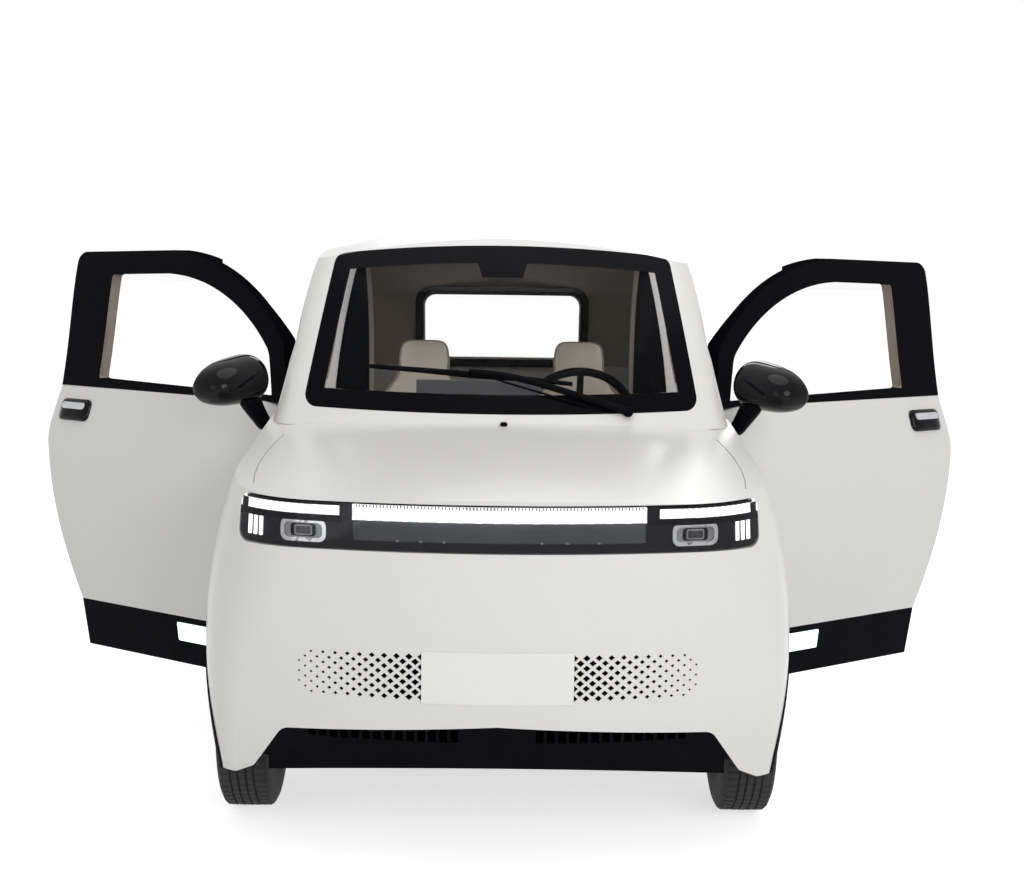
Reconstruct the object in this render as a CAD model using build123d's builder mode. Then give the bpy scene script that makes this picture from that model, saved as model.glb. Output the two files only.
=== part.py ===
from build123d import *
from math import cos, radians, sin, sqrt
import os

# A small four-wheel enclosed cabin vehicle, in millimetres.
# The front faces -Y, +Z is up and the origin is on the ground below the middle.
# Both doors are built closed and then swung open about their hinges.

# Body
front_reach = 1332
rear_reach = 1330
side_half_width = 734
side_bow = 10
front_bow_radius = 1900
rear_bow_radius = 2300
front_corner = 330
rear_corner = 340
belt_height = 1035
skirt_height = 190
shell_wall = 40
lining_wall = 8
shut_gap = 8
seam = 0.3
overrun = 60

# Bonnet
bonnet_front_height = 898
bonnet_slope = 11.2
bonnet_crown_radius = 5000
bonnet_wall = 28

# Cabin
cabin_height = 1546
cabin_half_width = 636
cabin_front_reach = 738
cabin_rear_reach = 1235
cabin_front_crown = 110
cabin_rear_crown = 70
cabin_front_corner = 70
cabin_rear_corner = 260
roof_peak_y = 120
roof_length_radius = 3000
roof_cross_radius = 2300

# Windows
glass_inset = 4
glass_wall = 5
flange_lap = 30
band_width = 50
screen_half_top = 487
screen_half_bottom = 549
screen_bottom = 1040
screen_top = 1496
screen_bottom_arch = 10
screen_top_arch = 28
screen_corner = 34
tab_half_top = 88
tab_half_bottom = 58
tab_depth = 46
rear_window_half = 300
rear_window_bottom = 1065
rear_window_top = 1310
rear_window_corner = 45
rear_seal = 24

# Lamps, plates and lower trim
lamp_bottom = 776
lamp_top = 890
lamp_half = 634
lamp_corner = 26
lens_wall = 4
light_depth = 10
strip_height = 36
strip_drop = 6
divider_x = 364
divider_width = 32
bar_x = 590
bar_width = 9
bar_pitch = 15
bar_height = 70
projector_x = 467
projector_drop = 72
projector_width = 112
projector_height = 54
projector_ring = 9
tail_bottom = 800
tail_top = 870
tail_half = 600
plate_half = 181
plate_bottom = 413
plate_top = 541
plate_wall = 4
rear_plate_half = 170
rear_plate_bottom = 560
rear_plate_top = 680
valance_top = 355
valance_bottom = 247
valance_shoulder = (524, 326)
valance_shoulder_radius = 34
valance_foot = (600, 214)
valance_foot_radius = 26
valance_tip = 648
louvre_x = 275
louvre_pitch = 26.6
louvre_width = 19
louvre_bottom = 313
louvre_top = 347
louvre_count = 14
grille_columns = 20
grille_pitch = 14.8
grille_row_pitch = 25
grille_hole_outer = 3
grille_hole_inner = 8.8
grille_stretch_share = 1.15
grille_margin = 14
trim_top = 375

# Wheels, steering and axles
front_axle_y = -845
rear_axle_y = 880
track_half = 650
tyre_radius = 255
tyre_width = 135
tyre_shoulder = 26
tread_half = 56
rim_radius = 156
rim_wall = 10
rim_width = 112
rim_disc = 14
rim_window_radius = 24
rim_window_circle = 96
hub_radius = 34
axle_radius = 12
running_gap = 0.05
arch_radius = 290
arch_lip = 14
liner_wall = 4
liner_inner_x = 432
axle_slot = 60
kingpin_x = 585
kingpin_radius = 9
kingpin_reach = 82
knuckle_height = 116
knuckle_radius = 22
arm_length = 90
arm_drop = 21
arm_wall = 14
arm_width = 46
strut_x = 470
strut_radius = 20
rack_radius = 18
tie_rod_radius = 6
tie_rod_drop = 42
rear_beam_radius = 28
motor_radius = 92
motor_length = 230
spring_radius = 36

# Doors
hinge_inset = 20
hinge_y = -455
hinge_heights = (430, 610)
hinge_eye = 14
hinge_reach = 18
hinge_radius = 6.5
pin_radius = 3.5
hinge_gap = 1
pocket_front = 80
pocket_rear = 14
pocket_height = 100
post_outer = 640
post_wall = 30
post_rear = 40
post_top = 740
door_open = 57
door_front_y = -515
door_bottom = 225
door_rear_low = 236
door_rear_trim = 243
door_rear_bulge = 437
door_bulge_height = 885
door_rear_belt = 426
door_rear_top = 420
door_top_rear = 1460
door_knee = (-472, 1205)
door_knee_radius = 80
door_arch = (-260, 1390)
door_arch_end = (10, 1470)
door_bulge_radius = 170
door_base_radius = 40
door_inner_x = 482
window_front = (-455, 1048)
window_knee = (-422, 1178)
window_arch = (-226, 1339)
window_arch_end = (20, 1398)
window_rear_top = (252, 1391)
window_rear_low = (262, 1062)
handle_y = 306
handle_z = 968
handle_length = 157
handle_height = 42
handle_proud = 12
mirror_x = 843
mirror_y = -504
mirror_z = 1112
mirror_width = 205
mirror_height = 142
mirror_depth = 110
mirror_tip_radius = 42
mirror_tip_drop = 22
mirror_foot_z = 968
mirror_arm_radius = 15

# Interior
floor_bottom = 255
floor_wall = 12
sill_inner = 585
sill_outer = 636
sill_top = 330
bulkhead_y = -592
bulkhead_wall = 14
bulkhead_top = 990
rear_panel_y = 560
shelf_height = 580
rail_x = 300
rail_width = 50
rail_height = 60
rail_end = 1190
rail_kick_height = 145
rail_kick_y = 600
rail_kick_run = 90
tow_hole_x = 160
tow_hole_radius = 8
carrier_pitch = 240
carrier_hole_radius = 6.5
battery_half = 420
battery_front = -150
battery_rear = 250
battery_top = 445
seat_x = 262
seat_width = 430
seat_front = -190
seat_depth = 470
cushion_wall = 120
back_height = 545
back_wall = 105
back_lean = 14
back_full_share = 0.74
shoulder_half = 141
headrest_half = 100
headrest_top_half = 80
headrest_height = 175
seat_round = 30
dash_half = 548
dash_bottom = 740
dash_top = 1052
dash_rear_y = -335
display_x = -63
display_half = 180
display_height = 58
display_wall = 40
display_y = -450
wheel_x = 245
wheel_y = -35
wheel_z = 965
wheel_rim_radius = 168
wheel_grip = 13
column_rake = 28
column_radius = 24
column_length = 362
shaft_radius = 10
shaft_length = 60
shaft_end_gap = 5
pedal_width = 62
pedal_height = 80
pedal_wall = 8
wiper_pivot = (348, -671, 1049)
wiper_elbow = (1, -632, 1145)
wiper_left = (-365, -590, 1160)
wiper_right = (195, -641, 1121)
wiper_width = 12
wiper_lift = 14

hinge_x = side_half_width + side_bow - hinge_inset
cut_half = side_half_width + side_bow + overrun
floor_top = floor_bottom + floor_wall

# Lower body sections, as shares of belt_height, side_half_width, front_reach, rear_reach,
# front_corner and rear_corner
lower_row_shares = (
    (0.184, 0.957, 0.962, 0.945, 0.25, 0.35),
    (0.386, 0.992, 0.992, 0.985, 0.45, 0.50),
    (0.618, 1.000, 1.000, 1.000, 0.80, 0.80),
    (0.831, 0.942, 0.992, 0.985, 1.00, 1.00),
    (1.024, 0.842, 0.968, 0.932, 1.00, 1.00),
)

# Cabin sections, as shares of cabin_height, cabin_half_width, cabin_front_reach,
# cabin_rear_reach, cabin_front_crown and cabin_rear_crown
cabin_row_shares = (
    (0.647, 1.000, 1.000, 1.000, 1.00, 1.00),
    (0.776, 0.936, 0.800, 0.976, 0.74, 0.95),
    (0.880, 0.893, 0.617, 0.923, 0.58, 0.88),
    (0.944, 0.853, 0.488, 0.858, 0.46, 0.80),
    (1.006, 0.775, 0.350, 0.755, 0.36, 0.68),
)


def sagitta(radius, half_chord):
    return radius - sqrt(radius**2 - half_chord**2)


def plan_section(height, half_width, front, rear, front_sag, rear_sag, front_round, rear_round, inset):
    """One closed plan outline of the body: bowed ends and sides with round corners."""
    half = half_width - inset
    nose = front - inset
    tail = rear - inset
    with BuildSketch(Plane.XY.offset(height)) as section:
        with BuildLine():
            ThreePointArc((-half, front_sag - nose), (0, -nose), (half, front_sag - nose))
            ThreePointArc((half, front_sag - nose), (half + side_bow, 0), (half, tail - rear_sag))
            ThreePointArc((half, tail - rear_sag), (0, tail), (-half, tail - rear_sag))
            ThreePointArc((-half, tail - rear_sag), (-half - side_bow, 0), (-half, front_sag - nose))
        make_face()
        fillet(section.vertices().group_by(Axis.Y)[0], front_round - inset)
        fillet(section.vertices().group_by(Axis.Y)[-1], rear_round - inset)
    return section.sketch


def bonnet_cut(inset):
    """Everything above the crowned bonnet surface."""
    slope = radians(bonnet_slope)
    half = side_half_width + overrun
    drop = sagitta(bonnet_crown_radius, half)
    edge = Plane(
        origin=(0, -front_reach, bonnet_front_height),
        x_dir=(1, 0, 0),
        z_dir=(0, -cos(slope), -sin(slope)),
    )
    with BuildPart() as cut:
        with BuildSketch(edge):
            with BuildLine():
                ThreePointArc((-half, -drop - inset), (0, -inset), (half, -drop - inset))
                Polyline(
                    (half, -drop - inset), (half, belt_height),
                    (-half, belt_height), (-half, -drop - inset),
                )
            make_face()
        extrude(amount=2 * front_reach, both=True)
    return cut.part


def lower_form(inset, top_inset):
    """The solid form of the body below the belt, drawn in by the inset."""
    with BuildPart() as form:
        for height, width, front, rear, front_round, rear_round in lower_row_shares:
            half = side_half_width * width
            add(plan_section(
                belt_height * height, half, front_reach * front, rear_reach * rear,
                sagitta(front_bow_radius, half - inset), sagitta(rear_bow_radius, half - inset),
                front_corner * front_round, rear_corner * rear_round, inset,
            ))
        loft()
        add(bonnet_cut(top_inset), mode=Mode.SUBTRACT)
        split(bisect_by=Plane.XY.offset(belt_height), keep=Keep.BOTTOM)
    return form.part


def roof_crown(inset):
    """A ring whose outside is the doubly curved roof."""
    half = cabin_half_width + overrun
    top = cabin_height - inset
    low = cabin_height - belt_height
    drop = sagitta(roof_cross_radius, half)
    with BuildPart() as crown:
        with BuildSketch(Plane.XZ.offset(-roof_peak_y)):
            with BuildLine():
                ThreePointArc((-half, top - drop), (0, top), (half, top - drop))
                Polyline((half, top - drop), (half, low), (-half, low), (-half, top - drop))
            make_face()
        revolve(axis=Axis((0, roof_peak_y, cabin_height - roof_length_radius), (1, 0, 0)))
    return crown.part


def cabin_form(inset):
    """The solid form of the cabin above the belt, drawn in by the inset."""
    with BuildPart() as form:
        for height, width, front, rear, front_crown, rear_crown in cabin_row_shares:
            add(plan_section(
                cabin_height * height, cabin_half_width * width, cabin_front_reach * front,
                cabin_rear_reach * rear, cabin_front_crown * front_crown,
                cabin_rear_crown * rear_crown, cabin_front_corner, cabin_rear_corner, inset,
            ))
        loft()
        add(roof_crown(inset), mode=Mode.INTERSECT)
    return form.part


def layer(outside, inside):
    """What lies between two forms of the same surface."""
    with BuildPart() as skin:
        add(outside)
        add(inside, mode=Mode.SUBTRACT)
    return skin.part


def taken(whole, *blocks):
    """The part of a solid that lies in every one of the blocks."""
    with BuildPart() as piece:
        add(whole)
        for block in blocks:
            add(block, mode=Mode.INTERSECT)
    return piece.part


def without(whole, *blocks):
    """A solid with the blocks cut out."""
    with BuildPart() as piece:
        add(whole)
        for block in blocks:
            add(block, mode=Mode.SUBTRACT)
    return piece.part


def both_sides(half):
    """A piece of the +X side with its mirror image."""
    with BuildPart() as pair:
        add(half)
        mirror(about=Plane.YZ)
    return pair.part


def front_prism(face, y_from, y_to):
    """A front outline in X and Z made solid from one y to another."""
    with BuildPart() as block:
        with BuildSketch(Plane.XZ.offset(-y_to)):
            add(face)
        extrude(amount=y_to - y_from)
    return block.part


def side_prism(face, x_from, x_to):
    """A side outline in Y and Z made solid from one x to another."""
    with BuildPart() as block:
        with BuildSketch(Plane.YZ.offset(x_from)):
            add(face)
        extrude(amount=x_to - x_from)
    return block.part


def space(x_from, x_to, y_from, y_to, z_from, z_to):
    """A plain box between six faces."""
    with BuildPart() as box:
        with BuildSketch(Plane.XY.offset(z_from)):
            with Locations(((x_from + x_to) / 2, (y_from + y_to) / 2)):
                Rectangle(x_to - x_from, y_to - y_from)
        extrude(amount=z_to - z_from)
    return box.part


def rod(start, end, radius):
    """A round bar between two points."""
    with BuildPart() as bar:
        path = Vector(*end) - Vector(*start)
        with BuildSketch(Plane(origin=start, z_dir=path)):
            Circle(radius)
        extrude(amount=path.length)
    return bar.part


def panel_outline(half, bottom, top, corner):
    """A rounded rectangle about the middle line."""
    with BuildSketch() as outline:
        with Locations((0, (bottom + top) / 2)):
            RectangleRounded(2 * half, top - bottom, corner)
    return outline.sketch


def door_outline(grow):
    """The closed door's side outline, let out by the given amount."""
    with BuildSketch() as outline:
        with BuildLine():
            Polyline(
                door_knee, (door_front_y, belt_height), (door_front_y, door_bottom),
                (door_rear_low, door_bottom), (door_rear_trim, trim_top),
                (door_rear_bulge, door_bulge_height), (door_rear_belt, belt_height),
                (door_rear_top, door_top_rear), door_arch_end,
            )
            ThreePointArc(door_arch_end, door_arch, door_knee)
        make_face()
        for corner, radius in (
            (door_knee, door_knee_radius),
            ((door_rear_bulge, door_bulge_height), door_bulge_radius),
            ((door_rear_top, door_top_rear), screen_corner),
            ((door_front_y, belt_height), door_base_radius),
        ):
            fillet(outline.vertices().sort_by_distance(corner)[0], radius)
        if grow:
            offset(amount=grow, kind=Kind.INTERSECTION)
    return outline.sketch


def window_outline():
    """The door window's side outline."""
    with BuildSketch() as outline:
        with BuildLine():
            Polyline(window_knee, window_front, window_rear_low, window_rear_top, window_arch_end)
            ThreePointArc(window_arch_end, window_arch, window_knee)
        make_face()
        fillet(outline.vertices().group_by(Axis.X)[-1], screen_corner / 3)
        fillet(outline.vertices().sort_by_distance(window_rear_top)[0], screen_corner / 3)
        fillet(outline.vertices().sort_by_distance(window_knee)[0], door_knee_radius)
    return outline.sketch


def screen_outline(grow):
    """The windscreen opening's front outline, let out by the given amount."""
    low = screen_bottom + screen_bottom_arch
    high = screen_top - screen_top_arch
    with BuildSketch() as outline:
        with BuildLine():
            ThreePointArc((-screen_half_bottom, low), (0, screen_bottom), (screen_half_bottom, low))
            Line((screen_half_bottom, low), (screen_half_top, high))
            ThreePointArc((screen_half_top, high), (0, screen_top), (-screen_half_top, high))
            Line((-screen_half_top, high), (-screen_half_bottom, low))
        make_face()
        fillet(outline.vertices(), screen_corner)
        if grow:
            offset(amount=grow, kind=Kind.INTERSECTION)
    return outline.sketch


def screen_glass_outline():
    """The clear glass inside the black band, notched for the mirror foot."""
    high = screen_top - band_width
    with BuildSketch() as outline:
        add(screen_outline(-band_width))
        with BuildLine():
            Polyline(
                (-tab_half_top, high + band_width), (-tab_half_bottom, high + band_width - 2 * tab_depth),
                (tab_half_bottom, high + band_width - 2 * tab_depth), (tab_half_top, high + band_width),
                close=True,
            )
        make_face(mode=Mode.SUBTRACT)
    return outline.sketch


def valance_outline(low):
    """The black lower valance seen from the front, down to the given height."""
    foot_x, foot_z = valance_foot
    shoulder_x, shoulder_z = valance_shoulder
    with BuildSketch() as outline:
        with BuildLine():
            Polyline(
                (-valance_tip, low), (-valance_tip, skirt_height), (-foot_x, foot_z),
                (-shoulder_x, shoulder_z), (0, valance_top), (shoulder_x, shoulder_z),
                (foot_x, foot_z), (valance_tip, skirt_height), (valance_tip, low), close=True,
            )
        make_face()
        for side in (-1, 1):
            for corner, radius in (
                ((side * shoulder_x, shoulder_z), valance_shoulder_radius),
                ((side * foot_x, foot_z), valance_foot_radius),
            ):
                fillet(outline.vertices().sort_by_distance(corner)[0], radius)
    return outline.sketch


def diamond_holes():
    """Staggered diamond holes beside the front plate, smaller further out."""
    middle = (plate_bottom + plate_top) / 2
    with BuildSketch() as holes:
        for column in range(grille_columns + 1):
            share = column / grille_columns
            hole = grille_hole_inner + (grille_hole_outer - grille_hole_inner) * share
            wide = grille_stretch_share * hole
            rows = 3 if column == grille_columns else 5 - column % 2
            with Locations((plate_half + column * grille_pitch, middle)):
                with GridLocations(0, grille_row_pitch, 1, rows):
                    Polygon((-wide, 0), (0, -hole), (wide, 0), (0, hole), align=None)
        mirror(about=Plane.YZ)
    return holes.sketch


def finish(piece, name):
    """Labels a piece and writes it."""
    piece.label = name
    export_step(piece, "parts/" + name + ".step")


def finish_sides(half, name, swing=0):
    """Writes the +X piece as the left one and its mirror image as the right one."""
    for side, turn, about in (("left", -swing, None), ("right", swing, Plane.YZ)):
        with BuildPart() as piece:
            add(half)
            if about:
                mirror(about=about, mode=Mode.REPLACE)
        x = -hinge_x if about else hinge_x
        finish(piece.part.rotate(Axis((x, hinge_y, 0), (0, 0, 1)), turn), name + "_" + side)


os.makedirs("parts", exist_ok=True)

# Forms of the body and cabin surfaces at the depths where the panels meet
lower_outer = lower_form(0, 0)
lower_inner = lower_form(shell_wall, bonnet_wall)
door_lined = lower_form(shell_wall - lining_wall, -bonnet_wall)
door_inner = lower_form(shell_wall, -bonnet_wall)
lens_back = lower_form(lens_wall, lens_wall)
light_back = lower_form(lens_wall + light_depth, lens_wall + light_depth)
plate_front_form = lower_form(-plate_wall, 0)
cabin_outer = cabin_form(0)
glass_outer = cabin_form(glass_inset)
glass_inner = cabin_form(glass_inset + glass_wall)
cabin_lined = cabin_form(shell_wall - lining_wall)
cabin_inner = cabin_form(shell_wall)

# Openings cut through the shells
door_opening = both_sides(side_prism(door_outline(shut_gap), door_inner_x - shut_gap, cut_half))
lamp_block = front_prism(
    panel_outline(lamp_half, lamp_bottom, lamp_top, lamp_corner), -front_reach - overrun, front_axle_y
)
tail_block = front_prism(
    panel_outline(tail_half, tail_bottom, tail_top, lamp_corner), rear_axle_y, rear_reach + overrun
)
valance_block = front_prism(valance_outline(0), -front_reach - overrun, front_axle_y)
grille_block = front_prism(
    panel_outline(
        plate_half + grille_columns * grille_pitch + grille_margin, plate_bottom - grille_margin,
        plate_top + grille_margin, lamp_corner,
    ), -front_reach - overrun, front_axle_y,
)
rear_valance_block = front_prism(valance_outline(0), rear_axle_y, rear_reach + overrun)
above_belt = space(-cut_half, cut_half, -front_reach, rear_reach, belt_height, cabin_height)
below_belt = space(-cut_half, cut_half, -front_reach, rear_reach, trim_top, belt_height)
below_trim = space(-cut_half, cut_half, -front_reach, rear_reach, 0, trim_top)
ahead = space(-cut_half, cut_half, -front_reach - overrun, 0, 0, cabin_height)
under_door = space(
    -cut_half, cut_half, door_front_y - shut_gap, door_rear_low + shut_gap, 0, door_bottom - shut_gap
)

with BuildPart() as arches:
    for axle_y in (front_axle_y, rear_axle_y):
        with BuildSketch(Plane.YZ.offset(-cut_half)):
            with Locations((axle_y, tyre_radius)):
                Circle(arch_radius)
        extrude(amount=2 * cut_half)

# The wells that the wheels turn in, cut out of what stands beside them
with BuildPart() as wells:
    for axle_y in (front_axle_y, rear_axle_y):
        with BuildSketch(Plane.YZ.offset(liner_inner_x - liner_wall)):
            with Locations((axle_y, tyre_radius)):
                Circle(arch_radius + liner_wall)
        extrude(amount=cut_half - liner_inner_x)
    mirror(about=Plane.YZ)

room = taken(door_inner, space(-cut_half, cut_half, bulkhead_y, rear_reach, 0, cabin_height))
lower_shell = without(layer(lower_outer, lower_inner), arches.part, door_opening, room)

# White front panel: bumper, wings and bonnet in one moulding
front_body = without(taken(lower_shell, ahead), under_door, lamp_block, valance_block, grille_block)
finish(front_body, "front_body")

# White rear panel: rear quarters and tail below the belt
rear_body = without(lower_shell, ahead, under_door, tail_block, rear_valance_block)
finish(rear_body, "rear_body")

# Black strips under the doors
finish(taken(lower_shell, under_door), "sill_trims")

# Black valances under the front and rear panels
above_valance = space(
    -cut_half, cut_half, -front_reach - overrun, rear_reach + overrun, valance_bottom, cabin_height
)
with BuildPart() as louvres:
    with BuildSketch(Plane.XZ.offset(-front_axle_y)):
        for x in (-louvre_x, louvre_x):
            with Locations((x, (louvre_bottom + louvre_top) / 2)):
                with GridLocations(louvre_pitch, 0, louvre_count, 1):
                    Rectangle(louvre_width, louvre_top - louvre_bottom)
    extrude(amount=front_reach)
finish(without(taken(lower_shell, valance_block, above_valance), louvres.part), "front_valance")
finish(taken(lower_shell, rear_valance_block, above_valance), "rear_valance")

# White insert behind the front plate, with a grille of diamond holes at each side
grille_skin = taken(layer(lower_outer, lens_back), grille_block)
finish(
    without(grille_skin, front_prism(diamond_holes(), -front_reach - overrun, front_axle_y)), "front_grilles"
)

# Front lamp bar: a clear cover, the lights behind it and their dark housing
lamp_skin = taken(layer(lower_outer, lower_inner), lamp_block)
finish(without(lamp_skin, lens_back), "lamp_cover")

with BuildPart() as light_block:
    strip_z = lamp_top - strip_drop - strip_height / 2
    with BuildSketch(Plane.XZ.offset(-front_axle_y)):
        with Locations((0, strip_z)):
            Rectangle(2 * divider_x - divider_width, strip_height)
        with Locations((divider_x + lamp_half / 2, strip_z), (-divider_x - lamp_half / 2, strip_z)):
            Rectangle(lamp_half - divider_width, strip_height)
        with Locations((bar_x, strip_z - bar_height / 2), (-bar_x, strip_z - bar_height / 2)):
            with GridLocations(bar_pitch, 0, 3, 1):
                Rectangle(bar_width, bar_height)
    extrude(amount=front_reach)

with BuildPart() as ring_block:
    with BuildSketch(Plane.XZ.offset(-front_axle_y)):
        with Locations((projector_x, lamp_top - projector_drop), (-projector_x, lamp_top - projector_drop)):
            RectangleRounded(projector_width, projector_height, projector_height / 3)
            RectangleRounded(
                projector_width - 2 * projector_ring, projector_height - 2 * projector_ring,
                projector_height / 4, mode=Mode.SUBTRACT,
            )
    extrude(amount=front_reach)

light_skin = layer(taken(lens_back, lamp_block), light_back)
finish(taken(light_skin, light_block.part), "light_strips")
finish(taken(light_skin, ring_block.part), "headlamp_rings")
finish(taken(lamp_skin, light_back), "lamp_housing")

# Tail lamp bar and the blank plates
finish(taken(layer(lower_outer, lower_inner), tail_block), "tail_lamp_bar")
plate_block = front_prism(
    panel_outline(plate_half, plate_bottom, plate_top, plate_wall), -front_reach - overrun, front_axle_y
)
finish(without(taken(plate_front_form, plate_block), lower_outer), "front_plate_panel")
rear_plate_block = front_prism(
    panel_outline(rear_plate_half, rear_plate_bottom, rear_plate_top, plate_wall),
    rear_axle_y, rear_reach + overrun,
)
finish(without(taken(plate_front_form, rear_plate_block), lower_outer), "rear_plate_panel")

# Cabin shell: roof, windscreen pillars and rear upper quarters, with its lining
screen_block = front_prism(screen_outline(0), -front_reach, 0)
screen_hole = front_prism(screen_outline(-flange_lap), -front_reach, 0)
rear_block = front_prism(
    panel_outline(
        rear_window_half + rear_seal, rear_window_bottom - rear_seal, rear_window_top + rear_seal,
        rear_window_corner + rear_seal,
    ), 0, rear_reach,
)
rear_hole = front_prism(
    panel_outline(rear_window_half, rear_window_bottom, rear_window_top, rear_window_corner), 0, rear_reach
)
window_skin = layer(cabin_outer, glass_inner)
screen_skin = taken(window_skin, screen_block)
rear_skin = taken(window_skin, rear_block)
cabin_shell = without(
    layer(cabin_outer, cabin_lined), lower_outer, door_opening,
    screen_skin, screen_hole, rear_skin, rear_hole,
)
finish(cabin_shell, "cabin_shell")
cabin_lining = without(
    taken(layer(cabin_lined, cabin_inner), above_belt), door_opening, screen_hole, rear_hole
)
finish(cabin_lining, "cabin_lining")

# Windscreen in its black band, and the rear window in its seal
clear_block = front_prism(screen_glass_outline(), -front_reach, 0)
finish(without(screen_skin, clear_block), "windscreen_band")
finish(taken(layer(glass_outer, glass_inner), clear_block), "windscreen")
finish(without(rear_skin, rear_hole), "rear_window_seal")
finish(taken(layer(glass_outer, glass_inner), rear_hole), "rear_window")

# Doors: panel, lining, window frame and lower trim share one outline
door_block = side_prism(door_outline(0), door_inner_x, cut_half)
window_block = side_prism(window_outline(), 0, cut_half)
with BuildPart() as pockets:
    for height in hinge_heights:
        add(space(
            0, hinge_x + hinge_radius + 1.5 * seam, hinge_y - pocket_front, hinge_y + pocket_rear,
            height - pocket_height / 2, height + pocket_height / 2,
        ))
with BuildPart() as door_knuckles:
    for height in hinge_heights:
        for foot in (
            height - hinge_eye / 2 - hinge_gap - hinge_reach, height + hinge_eye / 2 + hinge_gap
        ):
            with BuildSketch(Plane.XY.offset(foot)):
                with Locations((hinge_x, hinge_y)):
                    Circle(hinge_radius)
                with Locations((hinge_x, hinge_y + pocket_rear / 2)):
                    Rectangle(hinge_radius, pocket_rear + seam)
                with Locations((hinge_x, hinge_y)):
                    Circle(pin_radius + running_gap, mode=Mode.SUBTRACT)
            extrude(amount=hinge_reach)
with BuildPart() as door_panel:
    add(without(taken(layer(lower_outer, door_lined), door_block, below_belt), pockets.part))
    add(door_knuckles.part)
finish_sides(door_panel.part, "door_panel", door_open)
door_lining = without(
    taken(layer(door_lined, door_inner), door_block, space(
        0, cut_half, -front_reach, rear_reach, door_bottom, belt_height
    )), pockets.part,
)
finish_sides(door_lining, "door_lining", door_open)
door_trim = taken(layer(lower_outer, door_lined), door_block, below_trim)
finish_sides(door_trim, "door_trim", door_open)
door_frame = without(taken(layer(cabin_outer, cabin_inner), door_block, above_belt), window_block)
finish_sides(door_frame, "door_frame", door_open)
finish_sides(taken(layer(glass_outer, glass_inner), window_block), "door_glass", door_open)

# Door handles: a flat bar standing on the door skin
handle_form = lower_form(-handle_proud, 0)
with BuildPart() as handle_block:
    with BuildSketch(Plane.YZ):
        with Locations((handle_y, handle_z)):
            RectangleRounded(handle_length, handle_height, handle_height / 3)
    extrude(amount=cut_half)
finish_sides(without(taken(handle_form, handle_block.part), lower_outer), "door_handle", door_open)

# Door mirrors: an egg-shaped housing on a bent arm from the door skin
with BuildPart() as mirror_housing:
    with BuildSketch(Plane.XZ.offset(-mirror_y)):
        with Locations((mirror_x - mirror_width / 2 + mirror_height / 2, mirror_z)):
            Circle(mirror_height / 2)
        with Locations((mirror_x + mirror_width / 2 - mirror_tip_radius, mirror_z - mirror_tip_drop)):
            Circle(mirror_tip_radius)
        make_hull()
    extrude(amount=mirror_depth / 2, both=True)
    fillet(mirror_housing.edges().group_by(Axis.Y)[0], 0.33 * mirror_depth)
    fillet(mirror_housing.edges().group_by(Axis.Y)[-1], 0.12 * mirror_depth)
    mirror_elbow = (mirror_x - mirror_width / 2, mirror_y, mirror_z - mirror_height / 3)
    mirror_foot = (hinge_x - 2 * shell_wall, mirror_y, mirror_foot_z)
    add(rod(mirror_foot, mirror_elbow, mirror_arm_radius))
    with Locations(mirror_elbow):
        Sphere(mirror_arm_radius)
    add(rod(mirror_elbow, (mirror_x, mirror_y, mirror_z), mirror_arm_radius))
    add(lower_outer, mode=Mode.SUBTRACT)
finish_sides(mirror_housing.part, "door_mirror", door_open)

# Floor, sills, bulkheads and hinge posts
with BuildPart() as floor_tub:
    add(space(-sill_outer, sill_outer, bulkhead_y - bulkhead_wall, rear_panel_y, floor_bottom, floor_top))
    for side in (-1, 1):
        inner, outer = sorted((side * sill_inner, side * sill_outer))
        add(space(inner, outer, bulkhead_y - bulkhead_wall, rear_panel_y, floor_top, sill_top))
    add(taken(lower_inner, space(
        -cut_half, cut_half, bulkhead_y - bulkhead_wall, bulkhead_y, floor_bottom, bulkhead_top
    )))
    add(taken(lower_inner, space(
        -cut_half, cut_half, rear_panel_y - bulkhead_wall, rear_panel_y, floor_bottom, shelf_height
    )))
    add(taken(lower_inner, space(
        -cut_half, cut_half, rear_panel_y, rear_reach, shelf_height - floor_wall, shelf_height
    )))
    add(wells.part, mode=Mode.SUBTRACT)
finish(floor_tub.part, "floor_tub")

with BuildPart() as hinge_posts:
    for side in (-1, 1):
        inner, outer = sorted((side * (post_outer - post_wall), side * post_outer))
        add(space(inner, outer, bulkhead_y, hinge_y + post_rear, sill_top, post_top))
        for height in hinge_heights:
            low = height - hinge_eye / 2
            pin_low = low - hinge_gap - hinge_reach
            start, end = sorted((side * post_outer, side * hinge_x))
            add(space(start, end, hinge_y - hinge_radius / 2, hinge_y + hinge_radius / 2, low, low + hinge_eye))
            add(rod((side * hinge_x, hinge_y, low), (side * hinge_x, hinge_y, low + hinge_eye), hinge_radius))
            add(rod(
                (side * hinge_x, hinge_y, pin_low),
                (side * hinge_x, hinge_y, pin_low + hinge_eye + 2 * (hinge_gap + hinge_reach)), pin_radius,
            ))
    add(wells.part, mode=Mode.SUBTRACT)
finish(hinge_posts.part, "hinge_posts")

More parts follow.
